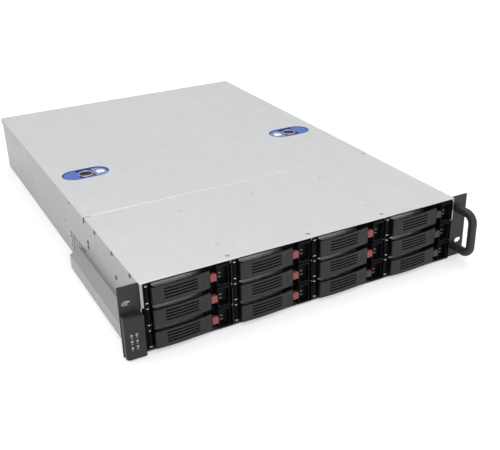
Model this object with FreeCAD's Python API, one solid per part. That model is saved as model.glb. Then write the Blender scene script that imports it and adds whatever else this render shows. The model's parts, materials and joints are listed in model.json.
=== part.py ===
import FreeCAD, Part
import math
import os

# A 2U rack-mount storage server: a long galvanised steel chassis, twelve hot-swap drive trays in
# front, two black rack ears, a pull handle, a control box and a two-part top cover with two latches.
# Units are millimetres. X runs to the right, Y from the front to the rear, Z up. "Depth" in the
# names and arguments below is the distance behind the front face of the rack ears (negative = ahead
# of it); EAR_Y turns it into Y. The origin is under the middle of the whole object, on its base.

# ---- Rack standard -------------------------------------------------------------------------------
RACK_WIDTH = 482.6            # across both ears, 19 inch panel
RACK_HEIGHT = 88.0            # two rack units less the usual 0.9 mm
SLOT_SPACING = 465.1          # between the left and right mounting slots
SLOT_LENGTH = 10.3
SLOT_WIDTH = 6.8
SLOT_HEIGHTS = (22.25, 66.7)

# ---- Chassis -------------------------------------------------------------------------------------
BODY_WIDTH = 434.0
BODY_DEPTH = 660.0            # from the ears' front face to the rear wall
FRONT_LIP = 3.0               # the chassis starts this far ahead of the ears' front face
SHEET = 1.2
FRONT_FLANGE = 3.1            # width of the side walls' front flanges
FRONT_FLANGE_Z = 57.0         # they start here; below, the walls end at the ears
HANDLE_REACH = 38.0           # pull handle, ahead of the ears
REAR_REACH = 25.0             # power supply handles, behind the rear wall
EAR_Y = -(BODY_DEPTH + REAR_REACH - HANDLE_REACH) / 2
HALF = BODY_WIDTH / 2
INNER = HALF - SHEET
COVER_Z = RACK_HEIGHT - SHEET

# ---- Top covers ----------------------------------------------------------------------------------
SEAM_DEPTH = 190.0
SEAM_GAP = 0.6
LIP_HEIGHT = 9.0
REAR_LIP_HEIGHT = 4.4
LIP_SHEET = 1.0
LIP_CLEARANCE = 0.35
LIP_SLOT = (252.5, 255.5, 81.5, 85.5)   # hook slot in each side lip: depths, heights
DIMPLE_R = 2.6
DIMPLE_DEPTHS = (36.0, 145.0)
DIMPLE_X = (-106.0, 0.0, 106.0)
LATCH_X = 169.0
LATCH_DEPTH = 335.0
LATCH_LENGTH = 68.0
LATCH_WIDTH = 38.0
LATCH_RIM = 1.6
LATCH_DROP = 11.0
LATCH_FLOOR = 7.0
LATCH_BUTTON_R = 9.0

# ---- Drive bays: four columns of three ------------------------------------------------------------
COLUMNS = 4
ROWS = 3
BAY_PITCH = 107.2
ROW_PITCH = 28.0
FIRST_ROW_Z = 2.2
DIVIDER = 1.0
TRAY_WIDTH = 105.4
TRAY_HEIGHT = 26.6
CAGE_DEPTH = 172.0
DRIVE_SIZE = (101.6, 147.0, 26.1)   # 3.5 inch disk drive
DRIVE_FRONT = 18.0
BEZEL_FRONT = -5.0
BEZEL_BACK = 17.0
BEZEL_PLATE = 4.2             # front of the bezel's back plate
POST_LEFT = 87.0              # right post of the bezel, from the tray's left edge
POST_WALL = 1.2
RECESS_RIGHT = 101.2
PIPE_RIGHT = 92.4             # two light pipes on the recess's left wall
PIPE_DEPTHS = (-4.4, -3.2)
PIPE_Z = (11.7, 16.6)
PIPE_HEIGHT = 1.2
LEDGE = 0.7

# ---- Tray lever, seen from above, measured from the tray's left edge --------------------------------
LEVER_LEFT = 7.8
LEVER_RIGHT = 78.0
LEVER_BACK = 3.0
LEVER_PEAK = (36.0, -10.0)
LEVER_LEFT_FRONT = -9.3
LEVER_RIGHT_FRONT = -5.8
LEVER_WALL = 2.4              # the lever is a shell, open at the back, above and below
LEVER_CORNER = 2.0
LEVER_Z = (1.7, 23.6)
LEVER_SLOT_X = (21.5, 62.0)
LEVER_SLOT_Z = (7.6, 11.4, 15.2, 19.0)
LEVER_SLOT = 1.8
HINGE_AT = (5.0, 1.0)
HINGE_PIN_R = 1.2
HINGE_BORE_R = 1.25
KNUCKLE_R = 2.9
TAB_RIGHT = 7.5               # the bracket's two tabs hold the hinge pin above and below the knuckle
TAB_Z = (2.4, 23.4)
TAB_SHEET = 0.8
TAB_GAP = 0.35
TAB_NOTCH_DEPTH = -4.2        # the lever's end wall is cut away around the tabs, back from here
BUTTON_LEFT = 78.6
BUTTON_RIGHT = 86.4
BUTTON_Z = (8.7, 17.9)
BUTTON_FRONT = -6.4
BUTTON_BACK = -0.5

# ---- Ears, handle and control box -------------------------------------------------------------------
EAR_PLATE = 2.0
EAR_FLANGE_DEPTH = 40.0
EAR_FLANGE_Z = (31.0, 44.0)
HANDLE_X = (219.4, 228.6)
HANDLE_Z = (11.0, 77.0)
HANDLE_BAR = 10.5
BOX_X = (-240.6, -217.4)
BOX_HEIGHT = 54.0
BOX_REACH = 11.0
BOX_BEVEL = 3.0
BOX_BUTTON_X = -229.0
POWER_BUTTON_Z = 45.0
RESET_BUTTON_Z = 36.5
DUCT_REACH = 15.0
DUCT_Z = (2.0, 28.0)
DUCT_DEPTHS = (3.0, 230.0)

# ---- Inside -----------------------------------------------------------------------------------------
BACKPLANE_SHEET = 2.0
FAN_X = (-115.0, 0.0, 115.0)
FAN_SIZE = 80.0
FAN_DEPTHS = (202.0, 240.0)
FAN_BORE_R = 38.0
FAN_HUB_R = 17.0
FAN_BLADE_R = 36.8
FAN_BLADES = 7
AXLE_R = 1.5
AXLE_BORE_R = 1.55
BOARD_X = (-171.0, 134.0)
BOARD_DEPTHS = (325.0, 655.0)
BOARD_Z = 9.0
BOARD_SHEET = 1.6
SOCKETS = ((80.0, 450.0), (-70.0, 450.0))
HEATSINK_SIDE = 90.0
HEATSINK_TOP = 76.0
DIMM_X = (-9.5, 0.0, 9.5, 19.0, -131.0, -140.5, -150.0, -159.5)
DIMM_DEPTHS = (384.0, 517.0)
EXPANSION_X = tuple(-50.0 - 20.32 * i for i in range(7))
PORTS = ((-12.0, 16.0, 16.0), (14.0, 16.0, 14.0), (36.0, 16.0, 14.0), (72.0, 31.0, 12.5))
IO_WINDOW = (-27.0, 131.75, 7.0, 51.4)
PSU_X = (140.4, 213.9)
PSU_HEIGHT = 39.0
PSU_LENGTH = 185.0
PSU_BOTTOMS = (2.4, 43.4)
PSU_INLET = (26.0, 18.0, 15.0)

SIDE_SCREWS = ((26.0, 84.0), (86.0, 84.0), (149.0, 84.0), (78.0, 56.0), (185.0, 48.0), (185.0, 55.0),
               (296.0, 41.0), (353.0, 7.0), (478.0, 34.0), (563.0, 25.0))
TOP_SCREWS_X = (-107.0, 0.0, 107.0)
TOP_SCREW_DEPTH = 6.0
SCREW_R = 1.5
SCREW_HOLE_R = 1.6
SCREW_HEAD_R = 2.8
SCREW_HEAD = 0.7


# ---- Small tools --------------------------------------------------------------------------------
def vec(x, y, z):
    return FreeCAD.Vector(x, y, z)


def block(x0, x1, d0, d1, z0, z1):
    """A box between two X values, two depths and two heights."""
    return Part.makeBox(x1 - x0, d1 - d0, z1 - z0, vec(x0, EAR_Y + d0, z0))


def rod_x(x0, x1, depth, z, r):
    return Part.makeCylinder(r, x1 - x0, vec(x0, EAR_Y + depth, z), vec(1, 0, 0))


def rod_y(x, d0, d1, z, r):
    return Part.makeCylinder(r, d1 - d0, vec(x, EAR_Y + d0, z), vec(0, 1, 0))


def rod_z(x, depth, z0, z1, r):
    return Part.makeCylinder(r, z1 - z0, vec(x, EAR_Y + depth, z0), vec(0, 0, 1))


def joined(shapes):
    whole = shapes[0].fuse(list(shapes[1:])) if len(shapes) > 1 else shapes[0]
    return whole.removeSplitter()


def cut(shape, tools):
    return shape.cut(Part.Compound(list(tools))).removeSplitter()


def obround_z(x, depth, length, width, z0, z1):
    """A prism with half-round ends, long side along X, standing up between two heights."""
    r = width / 2
    half = length / 2 - r
    y = EAR_Y + depth
    left, right = x - half, x + half
    edges = [
        Part.LineSegment(vec(left, y - r, z0), vec(right, y - r, z0)).toShape(),
        Part.Arc(vec(right, y - r, z0), vec(right + r, y, z0), vec(right, y + r, z0)).toShape(),
        Part.LineSegment(vec(right, y + r, z0), vec(left, y + r, z0)).toShape(),
        Part.Arc(vec(left, y + r, z0), vec(left - r, y, z0), vec(left, y - r, z0)).toShape(),
    ]
    return Part.Face(Part.Wire(edges)).extrude(vec(0, 0, z1 - z0))


def obround_y(x, z, length, width, d0, d1):
    """The same prism lying along Y, for the mounting slots."""
    standing = obround_z(0, -EAR_Y, length, width, 0, d1 - d0)
    standing.rotate(vec(0, 0, 0), vec(1, 0, 0), -90)
    standing.translate(vec(x, EAR_Y + d0, z))
    return standing


def rounded(shape, radius, pick):
    """Rounds the edges that pick() accepts; pick sees the edge's middle and its direction."""
    chosen = []
    for edge in shape.Edges:
        first, last = edge.ParameterRange
        middle = edge.valueAt((first + last) / 2)
        direction = edge.tangentAt((first + last) / 2)
        if pick(middle, direction):
            chosen.append(edge)
    return shape.makeFillet(radius, chosen) if chosen else shape


def bay_left(column):
    """X of a tray's left edge."""
    centre = (column - (COLUMNS - 1) / 2) * BAY_PITCH
    return centre - TRAY_WIDTH / 2


def bay_bottom(row):
    """Z of a tray's underside; row 0 is the top row."""
    return FIRST_ROW_Z + (ROWS - 1 - row) * ROW_PITCH


# ---- Chassis ------------------------------------------------------------------------------------
def vent_holes(side):
    """Staggered round holes through one side wall, low down beside the fans."""
    holes = []
    columns, rows = 9, 5
    pitch, radius = 7.6, 2.4
    wall = side * (HALF + 1) if side < 0 else INNER - 1
    for i in range(columns):
        for j in range(rows):
            depth = 205.0 + i * pitch + (pitch / 2 if j % 2 else 0)
            holes.append(rod_x(wall, wall + SHEET + 2, depth, 7.0 + j * 6.8, radius))
    return holes


def make_chassis_base():
    front = -FRONT_LIP
    pieces = [block(-HALF, HALF, 0, BODY_DEPTH, 0, SHEET), block(-INNER, INNER, front, 0, 0, SHEET)]
    for side in (-1, 1):
        x0, x1 = sorted((side * INNER, side * HALF))
        pieces.append(block(x0, x1, 0, BODY_DEPTH, 0, COVER_Z))
        pieces.append(block(x0, x1, front, 0, FRONT_FLANGE_Z, COVER_Z))
        lip0, lip1 = sorted((side * (HALF - FRONT_FLANGE), side * HALF))
        pieces.append(block(lip0, lip1, front, front + SHEET, FRONT_FLANGE_Z, COVER_Z))
        shelf0, shelf1 = sorted((side * 205.0, side * INNER))
        pieces.append(block(shelf0, shelf1, 4.0, 655.0, COVER_Z - SHEET, COVER_Z))
    pieces.append(block(-INNER, INNER, BODY_DEPTH - SHEET, BODY_DEPTH, 0, COVER_Z))
    pan = joined(pieces)

    wall = (BODY_DEPTH - SHEET - 1, BODY_DEPTH + 1)
    openings = [block(139.6, 214.8, wall[0], wall[1], SHEET + 0.4, 84.0)]
    openings.append(block(IO_WINDOW[0], IO_WINDOW[1], wall[0], wall[1], IO_WINDOW[2], IO_WINDOW[3]))
    for x in EXPANSION_X:
        openings.append(block(x - 6.5, x + 6.5, wall[0], wall[1], 12.0, 78.0))
    for i in range(11):
        x = IO_WINDOW[0] + 9.0 + i * 14.0
        openings.append(block(x - 3.5, x + 3.5, wall[0], wall[1], 58.0, 80.0))
    for side in (-1, 1):
        openings.extend(vent_holes(side))
        x0 = -HALF - 1 if side < 0 else INNER - 1
        for depth, z in SIDE_SCREWS:
            openings.append(rod_x(x0, x0 + SHEET + 2, depth, z, SCREW_HOLE_R))
    openings.append(rod_y(-208.0, wall[0], wall[1], 44.0, 3.0))
    pan = cut(pan, openings)

    partition = block(138.0, 139.2, 470.0, BODY_DEPTH - SHEET, SHEET, 84.6)
    shelf = block(139.2, INNER, 474.0, BODY_DEPTH - SHEET, 41.9, 42.9)
    blanks = [block(x - 9.2, x + 9.2, BODY_DEPTH - SHEET - 0.9, BODY_DEPTH - SHEET, 8.0, 84.0)
              for x in EXPANSION_X]
    return [pan, partition, shelf] + blanks


def make_front_cover():
    sheet = block(-HALF, HALF, -FRONT_LIP, SEAM_DEPTH - SEAM_GAP / 2, COVER_Z, RACK_HEIGHT)
    dimples = [rod_z(x, d, RACK_HEIGHT - 0.4, RACK_HEIGHT + 1, DIMPLE_R)
               for x in DIMPLE_X for d in DIMPLE_DEPTHS]
    holes = [rod_z(x, TOP_SCREW_DEPTH, COVER_Z - 1, RACK_HEIGHT + 1, SCREW_HOLE_R) for x in TOP_SCREWS_X]
    recesses = [rod_z(x, TOP_SCREW_DEPTH, RACK_HEIGHT - SCREW_HEAD, RACK_HEIGHT + 1, SCREW_HEAD_R + 0.2)
                for x in TOP_SCREWS_X]
    return [cut(sheet, dimples + holes + recesses)]


def make_rear_cover():
    outer = HALF + LIP_CLEARANCE + LIP_SHEET
    front = SEAM_DEPTH + SEAM_GAP / 2
    back = BODY_DEPTH + LIP_CLEARANCE + LIP_SHEET
    low = RACK_HEIGHT - LIP_HEIGHT
    pieces = [block(-outer, outer, front, back, COVER_Z, RACK_HEIGHT)]
    for side in (-1, 1):
        x0, x1 = sorted((side * (outer - LIP_SHEET), side * outer))
        pieces.append(block(x0, x1, front, back, low, RACK_HEIGHT))
    pieces.append(block(-outer, outer, back - LIP_SHEET, back, RACK_HEIGHT - REAR_LIP_HEIGHT, RACK_HEIGHT))
    shell = joined(pieces)
    windows = [obround_z(x, LATCH_DEPTH, LATCH_LENGTH, LATCH_WIDTH, COVER_Z - 1, RACK_HEIGHT + 1)
               for x in (-LATCH_X, LATCH_X)]
    hooks = [block(x0, x0 + 4, *LIP_SLOT) for x0 in (-HALF - 4, HALF)]
    return [cut(shell, windows + hooks)]


def make_latch_housings():
    """Two blue recessed cups that drop through the rear cover, each open above."""
    cups = []
    bottom = RACK_HEIGHT - LATCH_DROP
    for side in (-1, 1):
        x = side * LATCH_X
        outside = obround_z(x, LATCH_DEPTH, LATCH_LENGTH, LATCH_WIDTH, bottom, RACK_HEIGHT)
        inside = obround_z(x, LATCH_DEPTH, LATCH_LENGTH - 2 * LATCH_RIM, LATCH_WIDTH - 2 * LATCH_RIM,
                           bottom + LATCH_FLOOR, RACK_HEIGHT + 1)
        cup = outside.cut(inside)
        collar = rod_z(x, LATCH_DEPTH, bottom, RACK_HEIGHT - 2.4, LATCH_BUTTON_R + 2.3)
        bore = rod_z(x, LATCH_DEPTH, bottom - 1, RACK_HEIGHT, LATCH_BUTTON_R + 0.4)
        cups.append(cup.fuse(collar).cut(bore).removeSplitter())
    return cups


def make_latch_button(side):
    x = side * LATCH_X
    top = RACK_HEIGHT - 1.4
    cap = rod_z(x, LATCH_DEPTH, top - 6.0, top, LATCH_BUTTON_R)
    cap = rounded(cap, 0.8, lambda m, t: m.z > top - 0.01 and abs(t.z) < 0.1)
    return [cap.fuse(rod_z(x, LATCH_DEPTH, top - 10.0, top - 5.9, LATCH_BUTTON_R - 2)).removeSplitter()]


# ---- Drive bays -----------------------------------------------------------------------------------
def make_drive_cage():
    """Three dividers under two cross plates, with thin ledges that carry the trays."""
    top = COVER_Z - SHEET
    pieces = [block(-204.6, 204.6, d0, d1, top, top + 1.0) for d0, d1 in ((10.0, 32.0), (150.0, CAGE_DEPTH))]
    ledges = []
    for i in range(COLUMNS + 1):
        x = (i - COLUMNS / 2) * BAY_PITCH
        if 0 < i < COLUMNS:
            pieces.append(block(x - DIVIDER / 2, x + DIVIDER / 2, -2.0, CAGE_DEPTH, SHEET, top))
        for row in range(ROWS):
            z1 = bay_bottom(row) - 0.3
            if i == 0:
                ledges.append(block(-INNER, x + 3.2, 24.0, 165.0, z1 - LEDGE, z1))
            elif i == COLUMNS:
                ledges.append(block(x - 3.2, INNER, 24.0, 165.0, z1 - LEDGE, z1))
            else:
                pieces.append(block(x - 3.2, x + 3.2, 24.0, 165.0, z1 - LEDGE, z1))
    return [joined(pieces)] + ledges


def make_drive_tray(column, row):
    """Bezel, two side rails, a steel hinge bracket with its pin, and the disk drive it carries."""
    x, z = bay_left(column), bay_bottom(row)
    top = z + TRAY_HEIGHT
    plate = block(x, x + TRAY_WIDTH, BEZEL_PLATE, BEZEL_BACK, z, top)
    window = block(x + 12, x + 78, BEZEL_PLATE - 1, BEZEL_BACK + 1, z + 4, top - 4)
    stem_hole = rod_y(x + (BUTTON_LEFT + BUTTON_RIGHT) / 2, BEZEL_PLATE - 1, 12.0, z + 13.3, 1.9)
    left_post = block(x, x + 1.2, -3.0, BEZEL_PLATE, z, top)
    right_post = block(x + POST_LEFT, x + TRAY_WIDTH, BEZEL_FRONT, BEZEL_PLATE, z, top)
    recess = block(x + POST_LEFT + POST_WALL, x + RECESS_RIGHT, BEZEL_FRONT - 1, 2.0, z + 2.4, top - 2.4)
    rail_width = (TRAY_WIDTH - DRIVE_SIZE[0]) / 2
    rails = [block(x + a, x + a + rail_width, BEZEL_BACK, DRIVE_FRONT + DRIVE_SIZE[1], z, z + 21.0)
             for a in (0, TRAY_WIDTH - rail_width)]
    carrier = joined([plate, left_post, right_post] + rails)
    carrier = cut(carrier, [window, stem_hole, recess])

    hx, hd = x + HINGE_AT[0], HINGE_AT[1]
    tabs = [block(x + 1.2, x + TAB_RIGHT, -2.6, BEZEL_PLATE, z + h, z + h + TAB_SHEET) for h in TAB_Z]
    pin = rod_z(hx, hd, z + TAB_Z[0] + 0.2, z + TAB_Z[1] + 0.2, HINGE_PIN_R)
    bracket = joined(tabs + [pin])

    dx = x + (TRAY_WIDTH - DRIVE_SIZE[0]) / 2
    drive = block(dx, dx + DRIVE_SIZE[0], DRIVE_FRONT, DRIVE_FRONT + DRIVE_SIZE[1], z + 0.25,
                  z + 0.25 + DRIVE_SIZE[2])
    notch = block(dx + 8, dx + 60, DRIVE_FRONT + DRIVE_SIZE[1] - 6, DRIVE_FRONT + DRIVE_SIZE[1] + 1,
                  z, z + 6.0)
    light_pipes = [block(x + POST_LEFT + POST_WALL, x + PIPE_RIGHT, PIPE_DEPTHS[0], PIPE_DEPTHS[1],
                         z + h, z + h + PIPE_HEIGHT) for h in PIPE_Z]
    return [carrier, bracket, drive.cut(notch)] + light_pipes


def make_tray_lever(column, row):
    """The swinging front of a tray: a bowed shell with four vent slots and a hinge knuckle."""
    x, z = bay_left(column), bay_bottom(row)
    low, high = z + LEVER_Z[0], z + LEVER_Z[1]
    tab_low, tab_high = z + TAB_Z[0] + TAB_SHEET + TAB_GAP, z + TAB_Z[1] - TAB_GAP

    def at(dx, depth):
        return vec(x + dx, EAR_Y + depth, low)

    front_left = at(LEVER_LEFT + LEVER_CORNER, LEVER_LEFT_FRONT)
    bend = at(LEVER_LEFT + 0.29 * LEVER_CORNER, LEVER_LEFT_FRONT + 0.29 * LEVER_CORNER)
    side_left = at(LEVER_LEFT, LEVER_LEFT_FRONT + LEVER_CORNER)
    edges = [
        Part.Arc(side_left, bend, front_left).toShape(),
        Part.Arc(front_left, at(*LEVER_PEAK), at(LEVER_RIGHT, LEVER_RIGHT_FRONT)).toShape(),
        Part.LineSegment(at(LEVER_RIGHT, LEVER_RIGHT_FRONT), at(LEVER_RIGHT, LEVER_BACK)).toShape(),
        Part.LineSegment(at(LEVER_RIGHT, LEVER_BACK), at(LEVER_LEFT, LEVER_BACK)).toShape(),
        Part.LineSegment(at(LEVER_LEFT, LEVER_BACK), side_left).toShape(),
    ]
    left, right = LEVER_LEFT + LEVER_WALL, LEVER_RIGHT - LEVER_WALL
    inside = [at(left, LEVER_LEFT_FRONT + LEVER_WALL), at(LEVER_PEAK[0], LEVER_PEAK[1] + LEVER_WALL),
              at(right, LEVER_RIGHT_FRONT + LEVER_WALL), at(right, LEVER_BACK + 1), at(left, LEVER_BACK + 1)]
    hollow_edges = [Part.Arc(*inside[:3]).toShape()]
    for start, end in zip(inside[2:], inside[3:] + inside[:1]):
        hollow_edges.append(Part.LineSegment(start, end).toShape())
    face = Part.Face(Part.Wire(edges)).extrude(vec(0, 0, high - low))
    face = face.cut(Part.Face(Part.Wire(hollow_edges)).extrude(vec(0, 0, high - low)))
    notches = [block(x + LEVER_LEFT - 1, x + left + 1, TAB_NOTCH_DEPTH, LEVER_BACK + 1, z0, z1)
               for z0, z1 in ((low - 1, tab_low), (tab_high, high + 1))]
    hx, hd = x + HINGE_AT[0], HINGE_AT[1]
    knuckle = rod_z(hx, hd, tab_low, tab_high, KNUCKLE_R)
    arm = block(hx, x + LEVER_LEFT + 1, hd - 1.6, hd + 1.6, low + 3, high - 3)
    body = joined([cut(face, notches), knuckle, arm])
    slots = [block(x + LEVER_SLOT_X[0], x + LEVER_SLOT_X[1], -12.0, LEVER_BACK + 1, z + h, z + h + LEVER_SLOT)
             for h in LEVER_SLOT_Z]
    bore = rod_z(hx, hd, low - 1, high + 1, HINGE_BORE_R)
    return [cut(body, slots + [bore])]


def make_release_button(column, row):
    x, z = bay_left(column), bay_bottom(row)
    low, high = z + BUTTON_Z[0], z + BUTTON_Z[1]
    cap = block(x + BUTTON_LEFT, x + BUTTON_RIGHT, BUTTON_FRONT, BUTTON_BACK, low, high)
    cap = rounded(cap, 1.2, lambda m, t: abs(t.y) > 0.9)
    stem = rod_y(x + (BUTTON_LEFT + BUTTON_RIGHT) / 2, BUTTON_BACK - 0.5, 9.0, z + 13.3, 1.5)
    return [joined([cap, stem])]


def make_backplane():
    depth = (CAGE_DEPTH, CAGE_DEPTH + BACKPLANE_SHEET)
    board = block(-212.0, 212.0, depth[0], depth[1], 3.0, 84.5)
    windows, plugs = [], []
    for column in range(COLUMNS):
        for row in range(ROWS):
            x, z = bay_left(column), bay_bottom(row)
            windows.append(block(x + 56, x + 98, depth[0] - 1, depth[1] + 1, z + 6, z + 21))
            plugs.append(block(x + 11, x + 53, 165.6, depth[0], z + 1.0, z + 5.6))
    sockets = [block(x - 14, x + 14, depth[1], depth[1] + 7, 8.0, 15.0)
               for x in (-160.0, -53.0, 53.0, 160.0)]
    return [cut(board, windows)] + plugs + sockets


# ---- Fans -------------------------------------------------------------------------------------------
def make_fan_wall():
    """A steel trough across the chassis that holds three square fan housings."""
    d0, d1 = FAN_DEPTHS
    trough = [block(-INNER + 1, INNER - 1, d0 - 2.2, d1 + 2.2, SHEET, SHEET + 1.2)]
    trough.append(block(-INNER + 1, INNER - 1, d1 + 1.0, d1 + 2.2, SHEET, 30.0))
    edges = [-INNER + 1] + [x + s * (FAN_SIZE / 2 + 0.4) for x in FAN_X for s in (-1, 1)] + [INNER - 1]
    for left, right in zip(edges[0::2], edges[1::2]):
        trough.append(block(left, right, d1 + 1.0, d1 + 2.2, SHEET, 83.0))
    trough = joined(trough)
    trough = cut(trough, [rod_y(x, d1, d1 + 4, 2.4 + FAN_SIZE / 2, FAN_BORE_R) for x in FAN_X])
    solids = [trough]
    for x in FAN_X:
        zc = 2.4 + FAN_SIZE / 2
        frame = block(x - FAN_SIZE / 2, x + FAN_SIZE / 2, d0, d1, 2.4, 2.4 + FAN_SIZE)
        frame = frame.cut(rod_y(x, d0 - 1, d1 + 1, zc, FAN_BORE_R))
        struts = [rod_y(x, d1 - 3.5, d1, zc, FAN_HUB_R)]
        for k in range(3):
            strut = block(x - 1.5, x + 1.5, d1 - 3.0, d1, zc, zc + FAN_BORE_R + 1)
            strut.rotate(vec(x, 0, zc), vec(0, 1, 0), 60 + 120 * k)
            struts.append(strut)
        axle = rod_y(x, d0 + 5.0, d1 - 3.0, zc, AXLE_R)
        solids.append(joined([frame] + struts + [axle]))
    return solids


def make_fan_rotor(x):
    d0, d1 = FAN_DEPTHS
    zc = 2.4 + FAN_SIZE / 2
    hub = rod_y(x, d0 + 3.0, d1 - 4.5, zc, FAN_HUB_R)
    middle = (2 * d0 + d1 - d0) / 2 - 1.0
    blades = []
    for k in range(FAN_BLADES):
        blade = block(x - 9.0, x + 9.0, middle - 0.9, middle + 0.9, zc + FAN_HUB_R - 3, zc + FAN_BLADE_R - 1)
        blade.rotate(vec(x, EAR_Y + middle, zc), vec(0, 0, 1), 42)
        blade.rotate(vec(x, 0, zc), vec(0, 1, 0), 360.0 / FAN_BLADES * k)
        blades.append(blade)
    rotor = joined([hub] + blades)
    rotor = rotor.common(rod_y(x, d0 + 1, d1 - 4.2, zc, FAN_BLADE_R))
    bore = rod_y(x, d0, d1, zc, AXLE_BORE_R)
    return [rotor.cut(bore)]


# ---- Electronics --------------------------------------------------------------------------------------
def make_mainboard():
    """Circuit board on standoffs with sockets, memory modules, card slots, ports and their shield."""
    top = BOARD_Z + BOARD_SHEET
    solids = [block(BOARD_X[0], BOARD_X[1], BOARD_DEPTHS[0], BOARD_DEPTHS[1], BOARD_Z, top)]
    for x in (-160.0, -20.0, 125.0):
        for depth in (335.0, 540.0, 645.0):
            solids.append(rod_z(x, depth, SHEET, BOARD_Z, 3.0))
    for x, depth in SOCKETS:
        solids.append(block(x - 34, x + 34, depth - 40, depth + 40, top, top + 5.0))
    for x in DIMM_X:
        solids.append(block(x - 3.2, x + 3.2, DIMM_DEPTHS[0] - 4, DIMM_DEPTHS[1] + 4, top, top + 7.0))
        solids.append(block(x - 1.6, x + 1.6, DIMM_DEPTHS[0], DIMM_DEPTHS[1], top + 7.0, top + 31.0))
    for x in EXPANSION_X[0::2]:
        solids.append(block(x - 3.8, x + 3.8, 556.0, 645.0, top, top + 11.0))
    solids.append(block(20.0, 60.0, 575.0, 615.0, top, top + 12.0))
    for x, width, height in PORTS:
        port = block(x - width / 2, x + width / 2, 640.0, BODY_DEPTH + 0.4, top, top + height)
        mouth = block(x - width / 2 + 1.5, x + width / 2 - 1.5, BODY_DEPTH - 3.0, BODY_DEPTH + 1,
                      top + 1.5, top + height - 1.5)
        solids.append(port.cut(mouth))
    wall = BODY_DEPTH - SHEET
    shield = block(IO_WINDOW[0] - 1.5, IO_WINDOW[1] + 1.5, wall - 0.8, wall, IO_WINDOW[2] - 1.5,
                   IO_WINDOW[3] + 1.5)
    gap = 0.3
    holes = []
    for x, width, height in PORTS:
        half = width / 2 + gap
        holes.append(block(x - half, x + half, wall - 2, wall + 2, top - gap, top + height + gap))
    solids.append(cut(shield, holes))
    solids.append(block(141.0, 213.0, 466.0, 468.0, 3.0, 83.0))
    for z in PSU_BOTTOMS:
        solids.append(block(150.0, 200.0, 468.0, 473.0, z + 6.0, z + 14.0))
    return solids


def make_processor_heatsinks():
    base = BOARD_Z + BOARD_SHEET + 5.0
    sinks = []
    fins = 15
    for x, depth in SOCKETS:
        half = HEATSINK_SIDE / 2
        pieces = [block(x - half, x + half, depth - half, depth + half, base, base + 6.0)]
        for i in range(fins):
            fx = x - half + 0.6 + i * (HEATSINK_SIDE - 1.2) / (fins - 1)
            pieces.append(block(fx - 0.6, fx + 0.6, depth - half, depth + half, base + 5.5, HEATSINK_TOP))
        sinks.append(joined(pieces))
    return sinks


def make_power_supply(bottom):
    """A hot-swap supply: steel case, mains inlet, loop handle and a side latch."""
    x0, x1 = PSU_X
    back = BODY_DEPTH
    case = block(x0, x1, back - PSU_LENGTH, back, bottom, bottom + PSU_HEIGHT)
    inlet_x = x0 + 20.0
    inlet_z = bottom + PSU_HEIGHT / 2
    inlet = block(inlet_x - PSU_INLET[0] / 2, inlet_x + PSU_INLET[0] / 2, back - PSU_INLET[2], back + 1,
                  inlet_z - PSU_INLET[1] / 2, inlet_z + PSU_INLET[1] / 2)
    case = case.cut(inlet)
    hx0, hx1 = x1 - 34.0, x1 - 28.0
    handle = joined([
        block(hx0, hx1, back, back + REAR_REACH, bottom + 3.0, bottom + 7.0),
        block(hx0, hx1, back, back + REAR_REACH, bottom + 32.0, bottom + 36.0),
        block(hx0, hx1, back + REAR_REACH - 4.0, back + REAR_REACH, bottom + 3.0, bottom + 36.0),
    ])
    latch = block(x1 - 6.0, x1 - 2.5, back, back + 12.0, bottom + 13.0, bottom + 26.0)
    return [case, handle, latch]


# ---- Ears, handle, control box, duct --------------------------------------------------------------------
def make_rack_ear(side):
    """Flat ear with its mounting slots and a return flange along the side wall."""
    x0, x1 = sorted((side * HALF, side * RACK_WIDTH / 2))
    plate = block(x0, x1, 0, EAR_PLATE, 0, RACK_HEIGHT)
    plate = rounded(plate, 1.0, lambda m, t: abs(t.y) > 0.9 and abs(m.x) > HALF + 5)
    f0, f1 = sorted((side * HALF, side * (HALF + EAR_PLATE)))
    flange = block(f0, f1, 0, EAR_FLANGE_DEPTH, EAR_FLANGE_Z[0], EAR_FLANGE_Z[1])
    ear = joined([plate, flange])
    slots = [obround_y(side * SLOT_SPACING / 2, z, SLOT_LENGTH, SLOT_WIDTH, -1, EAR_PLATE + 1)
             for z in SLOT_HEIGHTS]
    return [cut(ear, slots)]


def make_pull_handle():
    """A D of rounded bar; its two legs meet the right ear's front face."""
    x0, x1 = HANDLE_X
    z0, z1 = HANDLE_Z
    outer = block(x0, x1, -HANDLE_REACH, 0, z0, z1)
    front = EAR_Y - HANDLE_REACH
    outer = rounded(outer, 16.0, lambda m, t: abs(t.x) > 0.9 and m.y < front + 0.01)
    inner = block(x0 - 1, x1 + 1, -HANDLE_REACH + HANDLE_BAR, 1, z0 + HANDLE_BAR, z1 - HANDLE_BAR)
    gap = front + HANDLE_BAR
    inner = rounded(inner, 6.0, lambda m, t: abs(t.x) > 0.9 and m.y < gap + 0.01)
    bar = outer.cut(inner)
    bar = rounded(bar, 2.8, lambda m, t: abs(t.x) < 0.1 and m.y < EAR_Y - 0.01 and (
        abs(m.x - x0) < 0.01 or abs(m.x - x1) < 0.01))
    return [bar]


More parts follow.
